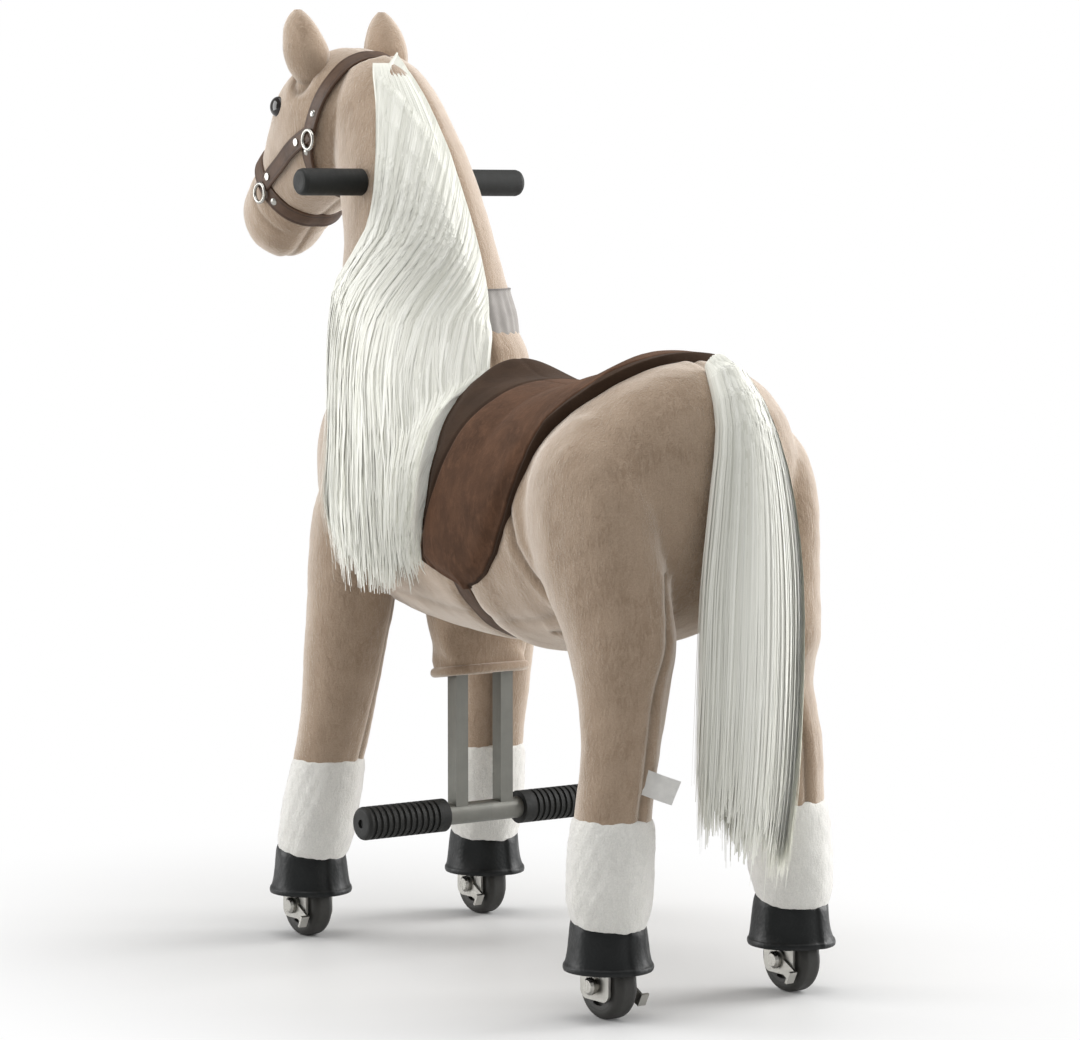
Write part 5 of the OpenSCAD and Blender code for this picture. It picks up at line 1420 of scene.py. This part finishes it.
def make_girth():
    """The girth: a strap under the belly from flap to flap, laid on the skin by rays towards the trunk's axis."""
    tree = surface_of("hind_skin")
    angle = np.radians(np.linspace(104, 256, 110))
    out = np.stack([np.zeros_like(angle), np.sin(angle), np.cos(angle)], axis=-1)
    centre = np.array([along(GIRTH_SHARE), 0, 450])
    path = smoothed(hits(tree, centre + out * 300, -out, centre + out * 120), 10) + 0.8 * out
    mesh = ribbon_mesh("girth_leather", [ribbon(path, out, GIRTH_WIDTH, STRAP_THICK)])
    piece = place("girth_leather", mesh, finish("strap"))
    carried(piece, "trunk", "strap_leather", "girth_strap")


NOSEBAND_AT = np.array([STEER_X + 262, 0, 784])
CHEEK_AT = np.array([STEER_X + 147, 0, 836])
POLL_AT = np.array([STEER_X + 117, 0, 918])
THROAT_LEAN = math.radians(20)
# Studs: a strap and their places among its steps
STUD_PLACES = (("crown_strap", (8, 81)), ("throat_strap", (10, 79)), ("noseband", (39, 80)))


def loop_on(tree, centre, up, first, last, steps):
    """A line round the head in the plane of a direction and y, from one angle to another, by rays towards its
    centre."""
    turn = np.radians(np.linspace(first, last, steps))
    out = np.cos(turn)[:, None] * up + np.sin(turn)[:, None] * np.array([0, 1.0, 0])
    path = hits(tree, centre + out * 260, -out, centre + out * 60)
    return smoothed(path, 6) + out, out


STUD_RADIUS = 4.2
STUD_RISE = 1.9


def make_studs(places):
    """Domed studs that close the straps' loops: each a low dome on its place, square to its outward direction."""
    turn = whole_turn(20)
    fall = np.radians(np.linspace(8, 96, 9))
    shapes = []
    for point, out in places:
        first = unit(np.cross(out, [0.3, 0.1, 0.95]))
        second = np.cross(out, first)
        flat = np.cos(turn)[:, None] * first + np.sin(turn)[:, None] * second
        shapes.append(closed_rings(point + STUD_RADIUS * np.sin(fall)[:, None, None] * flat
                                   + STUD_RISE * np.cos(fall)[:, None, None] * out))
    piece = place("strap_studs", solid_mesh("strap_studs", gather(shapes)), finish("steel"))
    carried(piece, "forehand", "bright_steel")


def make_halter():
    """The halter: noseband, cheek straps, crown strap and throat strap on the head's own surface."""
    width = bpy.context.scene.horse_tack.strap_width / MM
    tree = surface_of("head_skin")
    tilt = math.radians(HEAD_TILT)
    crown_up = unit(POLL_AT - CHEEK_AT)
    throat_up = np.array([math.sin(THROAT_LEAN), 0, -math.cos(THROAT_LEAN)])
    loops = {
        "noseband": loop_on(tree, NOSEBAND_AT, np.array([math.cos(tilt), 0, math.sin(tilt)]), 0, 360, 120),
        "crown_strap": loop_on(tree, CHEEK_AT + 10 * crown_up, crown_up, -96, 96, 90),
        "throat_strap": loop_on(tree, CHEEK_AT, throat_up, -94, 94, 90),
    }
    made = {name: [ribbon(path, outs, width, STRAP_THICK)] for name, (path, outs) in loops.items()}
    made["cheek_straps"] = []
    for side in (1, -1):
        share = np.linspace(-0.02, 0.98, 40)[:, None]
        line = CHEEK_AT + share * (NOSEBAND_AT - CHEEK_AT)
        aims = np.tile([0.0, -side, 0.0], (len(line), 1))
        path = smoothed(hits(tree, line - 200 * aims, aims, line - 60 * aims), 8) - aims * 1.2
        made["cheek_straps"].append(ribbon(path, -aims, width, CHEEK_THICK))
    studs = []
    for name, places in STUD_PLACES:
        path, outs = loops[name]
        studs += [(path[k] + STRAP_THICK * outs[k], outs[k]) for k in places]
    make_studs(studs)
    for name, bands in made.items():
        piece = place(name + "_leather", ribbon_mesh(name + "_leather", bands), finish("strap"))
        carried(piece, "forehand", "strap_leather", name)


EYE_AT = np.array([STEER_X + 213, 0, 866])
EYE_HALF = (12.5, 7.0, 11.0)
EYE_SUNK = 1.5


def make_eyes():
    """Glossy oval eyes sunk in the head."""
    tree = surface_of("head_skin")
    shapes = []
    turn, fall = np.meshgrid(whole_turn(40), np.radians(np.linspace(2, 150, 24)))
    length, bulge, height = EYE_HALF
    for side in (1, -1):
        aim = np.array([[0.0, -side, 0.0]])
        at = EYE_AT - 200 * aim
        point = hits(tree, at, aim, at)[0]
        rings = np.stack([length * np.sin(fall) * np.cos(turn), side * bulge * np.cos(fall),
                          height * np.sin(fall) * np.sin(turn)], axis=-1)
        shapes.append(closed_rings(rings + point + np.array([0, -side * EYE_SUNK, 0])))
    piece = place("eye_domes", solid_mesh("eye_domes", gather(shapes)), finish("eye"))
    carried(piece, "forehand", "eye_gloss", "eyes")


TAG_AT = np.array([REAR_AXLE[0] - 36, WHEEL_Y - 18, 238])
TAG_CLOTH = 0.6


def make_tag():
    """A small blank cloth tag sewn to the seam of the rear left leg."""
    u, v = np.meshgrid(np.linspace(0, 1, 20), np.linspace(0, 1, 24), indexing="ij")
    curl = 2.5 * np.sin(np.pi * u) + 1.5 * v ** 2
    along_tag = np.array([-18.4, -25.6, -11.5])
    down = np.array([5.3, 7.3, -22.0])
    out = np.array([-0.8, 0.55, 0.0])
    outer = TAG_AT + u[..., None] * along_tag + v[..., None] * down + curl[..., None] * out
    inner = outer - TAG_CLOTH * out
    quads = grid_quads(*u.shape, around=False)
    points = np.vstack([outer.reshape(-1, 3), inner.reshape(-1, 3)])
    shape = (points, np.vstack([quads, quads[:, ::-1] + u.size]), no_faces(3))
    mesh = make_mesh("blank_tag", shape, values={"seam": np.zeros(len(points))})
    piece = place("blank_tag", mesh, finish("tag"))
    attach(piece, "rear_legs")


NODE_FINISHES = {
    "silver": ("footrest_frame", "handlebar"),
    "frame": ("spine_frame", "steering_column", "front_leg_frame", "rear_leg_frame", "tie_rod", "bell_crank"),
    "zinc": ("front_forks", "rear_forks"),
    "steel": ("front_axles", "rear_axles", "halter_rings", "halter_rivets"),
    "nylon": ("steering_bushes", "guide_bushes", "hip_bushes", "shoulder_bushes"),
    "grip": ("handle_grips", "footrest_grips"),
    "ply": ("seat_board",),
}


def make_hardware():
    """Finishes of the frame's own metal, plastic and rubber pieces."""
    wanted = {name: key for key, names in NODE_FINISHES.items() for name in names}
    for corner in ("front_left", "front_right", "rear_left", "rear_right"):
        wanted[corner + "_wheel"] = "hub"
        wanted[corner + "_tyre"] = "tread"
        wanted[corner + "_lever"] = "zinc"
    for name, key in wanted.items():
        mesh = frame["nodes"][name].data
        mesh.materials.clear()
        mesh.materials.append(finish(key))


# Studio
# Lamps: name, place, aim, size, power
LAMPS = (
    ("top", (-0.3, 0.2, 3.0), (-0.05, 0, 0.45), (2.6, 2.6), 54),
    ("rim_right", (-0.7, -2.3, 1.2), (-0.1, 0, 0.5), (1.6, 2.2), 82),
    ("rim_left", (2.0, 2.0, 1.2), (0.0, 0, 0.5), (1.6, 2.2), 58),
)
WORLD_STRENGTH = 0.45
FLOOR_REACH = 6000.0
SENSOR_WIDTH = 36.0


def turned_to(place_at, aim):
    """Turn of a lamp or camera that looks from a place at a point."""
    return (Vector(aim) - Vector(place_at)).to_track_quat("-Z", "Y").to_euler()


def lamp(name, place_at, aim, size, power):
    """A soft lamp that faces a point."""
    data = bpy.data.lights.new(name, "AREA")
    data.shape = "RECTANGLE"
    data.size, data.size_y = size
    data.energy = power
    lit = bpy.data.objects.new(name, data)
    bpy.context.scene.collection.objects.link(lit)
    lit.location = place_at
    lit.rotation_euler = turned_to(place_at, aim)


def floor_finish():
    """White paper that fades to plain white away from the object and keeps its shadow."""
    made, tree, shader, coordinates = finish_of("floor", Roughness=0.45, Specular_IOR_Level=0.25)
    shader.inputs["Base Color"].default_value = (0.66, 0.66, 0.655, 1)
    apart = node(tree, "VectorMath", {"operation": "LENGTH"}, Vector=stretched(
        tree, coordinates.outputs["Object"], (1.0, 1.35, 1.0))).outputs["Value"]
    fade = node(tree, "MapRange", {"interpolation_type": "SMOOTHSTEP"}, Value=apart, From_Min=0.3, From_Max=0.85)
    path = node(tree, "LightPath")
    seen = math_node(tree, "MAXIMUM", path.outputs["Is Camera Ray"], path.outputs["Is Glossy Ray"])
    white = node(tree, "Emission", Color=(1, 1, 1, 1), Strength=1.0)
    blend = node(tree, "MixShader", Fac=math_node(tree, "MULTIPLY", fade.outputs[0], seen))
    tree.links.new(shader.outputs[0], blend.inputs[1])
    tree.links.new(white.outputs[0], blend.inputs[2])
    tree.links.new(blend.outputs[0], tree.nodes["Material Output"].inputs["Surface"])
    return made


def make_studio():
    """A white floor, soft lamps, a white surround and the camera of the photograph."""
    scene = bpy.context.scene
    settings = scene.horse_studio
    corners = FLOOR_REACH * np.array([(-1.0, -1.0, 0.0), (1.0, -1.0, 0.0), (1.0, 1.0, 0.0), (-1.0, 1.0, 0.0)])
    ground = place("floor", make_mesh("floor", (corners, np.array([[0, 1, 2, 3]]), no_faces(3))), floor_finish())
    world = bpy.data.worlds.new("surround")
    scene.world = world
    world.use_nodes = True
    tree = world.node_tree
    path = node(tree, "LightPath")
    seen = math_node(tree, "MAXIMUM", path.outputs["Is Camera Ray"], path.outputs["Is Transmission Ray"])
    strength = between(tree, seen, 0.0, 1.0, WORLD_STRENGTH, 1.0)
    tree.links.new(strength, tree.nodes["Background"].inputs["Strength"])
    tree.nodes["Background"].inputs["Color"].default_value = (1, 1, 1, 1)
    for row in LAMPS:
        lamp(*row)
    eye = bpy.data.cameras.new("camera")
    eye.lens = settings.lens
    eye.sensor_width = SENSOR_WIDTH
    eye.sensor_fit = "HORIZONTAL"
    camera = bpy.data.objects.new("camera", eye)
    scene.collection.objects.link(camera)
    camera.location = settings.eye
    camera.rotation_euler = turned_to(settings.eye, settings.aim)
    scene.camera = camera
    scene.render.resolution_x = 1080
    scene.render.resolution_y = 1040
    scene.view_settings.view_transform = "Standard"


# Operators
class HORSE_OT_body(bpy.types.Operator):
    """Trunk, thighs and hind legs in plush."""
    bl_idname = "horse.body"
    bl_label = "Trunk and hind legs"

    def execute(self, context):
        make_body()
        return {"FINISHED"}


class HORSE_OT_forelegs(bpy.types.Operator):
    """Front legs in plush."""
    bl_idname = "horse.forelegs"
    bl_label = "Front legs"

    def execute(self, context):
        make_forelegs()
        return {"FINISHED"}


class HORSE_OT_head(bpy.types.Operator):
    """Neck and head in plush."""
    bl_idname = "horse.head"
    bl_label = "Head and neck"

    def execute(self, context):
        make_head()
        return {"FINISHED"}


class HORSE_OT_ears(bpy.types.Operator):
    """Ears in plush."""
    bl_idname = "horse.ears"
    bl_label = "Ears"

    def execute(self, context):
        make_ears()
        return {"FINISHED"}


class HORSE_OT_gaiter(bpy.types.Operator):
    """Stretch band between trunk and neck."""
    bl_idname = "horse.gaiter"
    bl_label = "Neck gaiter"

    def execute(self, context):
        make_gaiter()
        return {"FINISHED"}


class HORSE_OT_sleeve(bpy.types.Operator):
    """Plush sleeve round the footrest's posts."""
    bl_idname = "horse.sleeve"
    bl_label = "Footrest sleeve"

    def execute(self, context):
        make_sleeve()
        return {"FINISHED"}


class HORSE_OT_socks(bpy.types.Operator):
    """White plush socks."""
    bl_idname = "horse.socks"
    bl_label = "Socks"

    def execute(self, context):
        make_socks()
        return {"FINISHED"}


class HORSE_OT_hooves(bpy.types.Operator):
    """Leather hoof skirts."""
    bl_idname = "horse.hooves"
    bl_label = "Hooves"

    def execute(self, context):
        make_hooves()
        return {"FINISHED"}


class HORSE_OT_mane(bpy.types.Operator):
    """Long hair of the mane."""
    bl_idname = "horse.mane"
    bl_label = "Mane"

    def execute(self, context):
        make_mane()
        return {"FINISHED"}


class HORSE_OT_tail(bpy.types.Operator):
    """Long hair of the tail."""
    bl_idname = "horse.tail"
    bl_label = "Tail"

    def execute(self, context):
        make_tail()
        return {"FINISHED"}


class HORSE_OT_saddle(bpy.types.Operator):
    """Suede saddle with its bands and cantle."""
    bl_idname = "horse.saddle"
    bl_label = "Saddle"

    def execute(self, context):
        make_saddle()
        return {"FINISHED"}


class HORSE_OT_girth(bpy.types.Operator):
    """Strap under the belly."""
    bl_idname = "horse.girth"
    bl_label = "Girth"

    def execute(self, context):
        make_girth()
        return {"FINISHED"}


class HORSE_OT_halter(bpy.types.Operator):
    """Leather straps of the head."""
    bl_idname = "horse.halter"
    bl_label = "Halter"

    def execute(self, context):
        make_halter()
        return {"FINISHED"}


class HORSE_OT_eyes(bpy.types.Operator):
    """Glossy eyes."""
    bl_idname = "horse.eyes"
    bl_label = "Eyes"

    def execute(self, context):
        make_eyes()
        return {"FINISHED"}


class HORSE_OT_tag(bpy.types.Operator):
    """Blank tag on the rear left leg."""
    bl_idname = "horse.tag"
    bl_label = "Tag"

    def execute(self, context):
        make_tag()
        return {"FINISHED"}


class HORSE_OT_hardware(bpy.types.Operator):
    """Finishes of metal, plastic and rubber."""
    bl_idname = "horse.hardware"
    bl_label = "Hardware"

    def execute(self, context):
        make_hardware()
        return {"FINISHED"}


class HORSE_OT_studio(bpy.types.Operator):
    """Floor, light and camera."""
    bl_idname = "horse.studio"
    bl_label = "Studio"

    def execute(self, context):
        make_studio()
        return {"FINISHED"}


OPERATORS = [
    HORSE_OT_body, HORSE_OT_forelegs, HORSE_OT_head, HORSE_OT_ears, HORSE_OT_gaiter, HORSE_OT_sleeve,
    HORSE_OT_socks, HORSE_OT_hooves, HORSE_OT_mane, HORSE_OT_tail, HORSE_OT_saddle,
    HORSE_OT_girth, HORSE_OT_halter, HORSE_OT_eyes, HORSE_OT_tag, HORSE_OT_hardware,
    HORSE_OT_studio,
]


class HORSE_PT_panel(bpy.types.Panel):
    """Sizes, colours and steps of the horse."""
    bl_label = "Plush horse"
    bl_space_type = "VIEW_3D"
    bl_region_type = "UI"
    bl_category = "Horse"

    def draw(self, context):
        for name, group in GROUPS.items():
            box = self.layout.box()
            for key in group.__annotations__:
                box.prop(getattr(context.scene, name), key)
        for operator in OPERATORS:
            self.layout.operator(operator.bl_idname)


def main():
    """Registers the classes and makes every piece."""
    register()
    for operator in OPERATORS:
        group, name = operator.bl_idname.split(".")
        getattr(getattr(bpy.ops, group), name)()


def register():
    """Registers the property groups, operators and panel."""
    for name, group in GROUPS.items():
        bpy.utils.register_class(group)
        setattr(bpy.types.Scene, name, bpy.props.PointerProperty(type=group))
    for made in OPERATORS + [HORSE_PT_panel]:
        bpy.utils.register_class(made)


def unregister():
    """Takes the panel, operators and property groups out again."""
    for made in [HORSE_PT_panel] + OPERATORS[::-1]:
        bpy.utils.unregister_class(made)
    for name, group in GROUPS.items():
        delattr(bpy.types.Scene, name)
        bpy.utils.unregister_class(group)


if __name__ == "__main__":
    main()
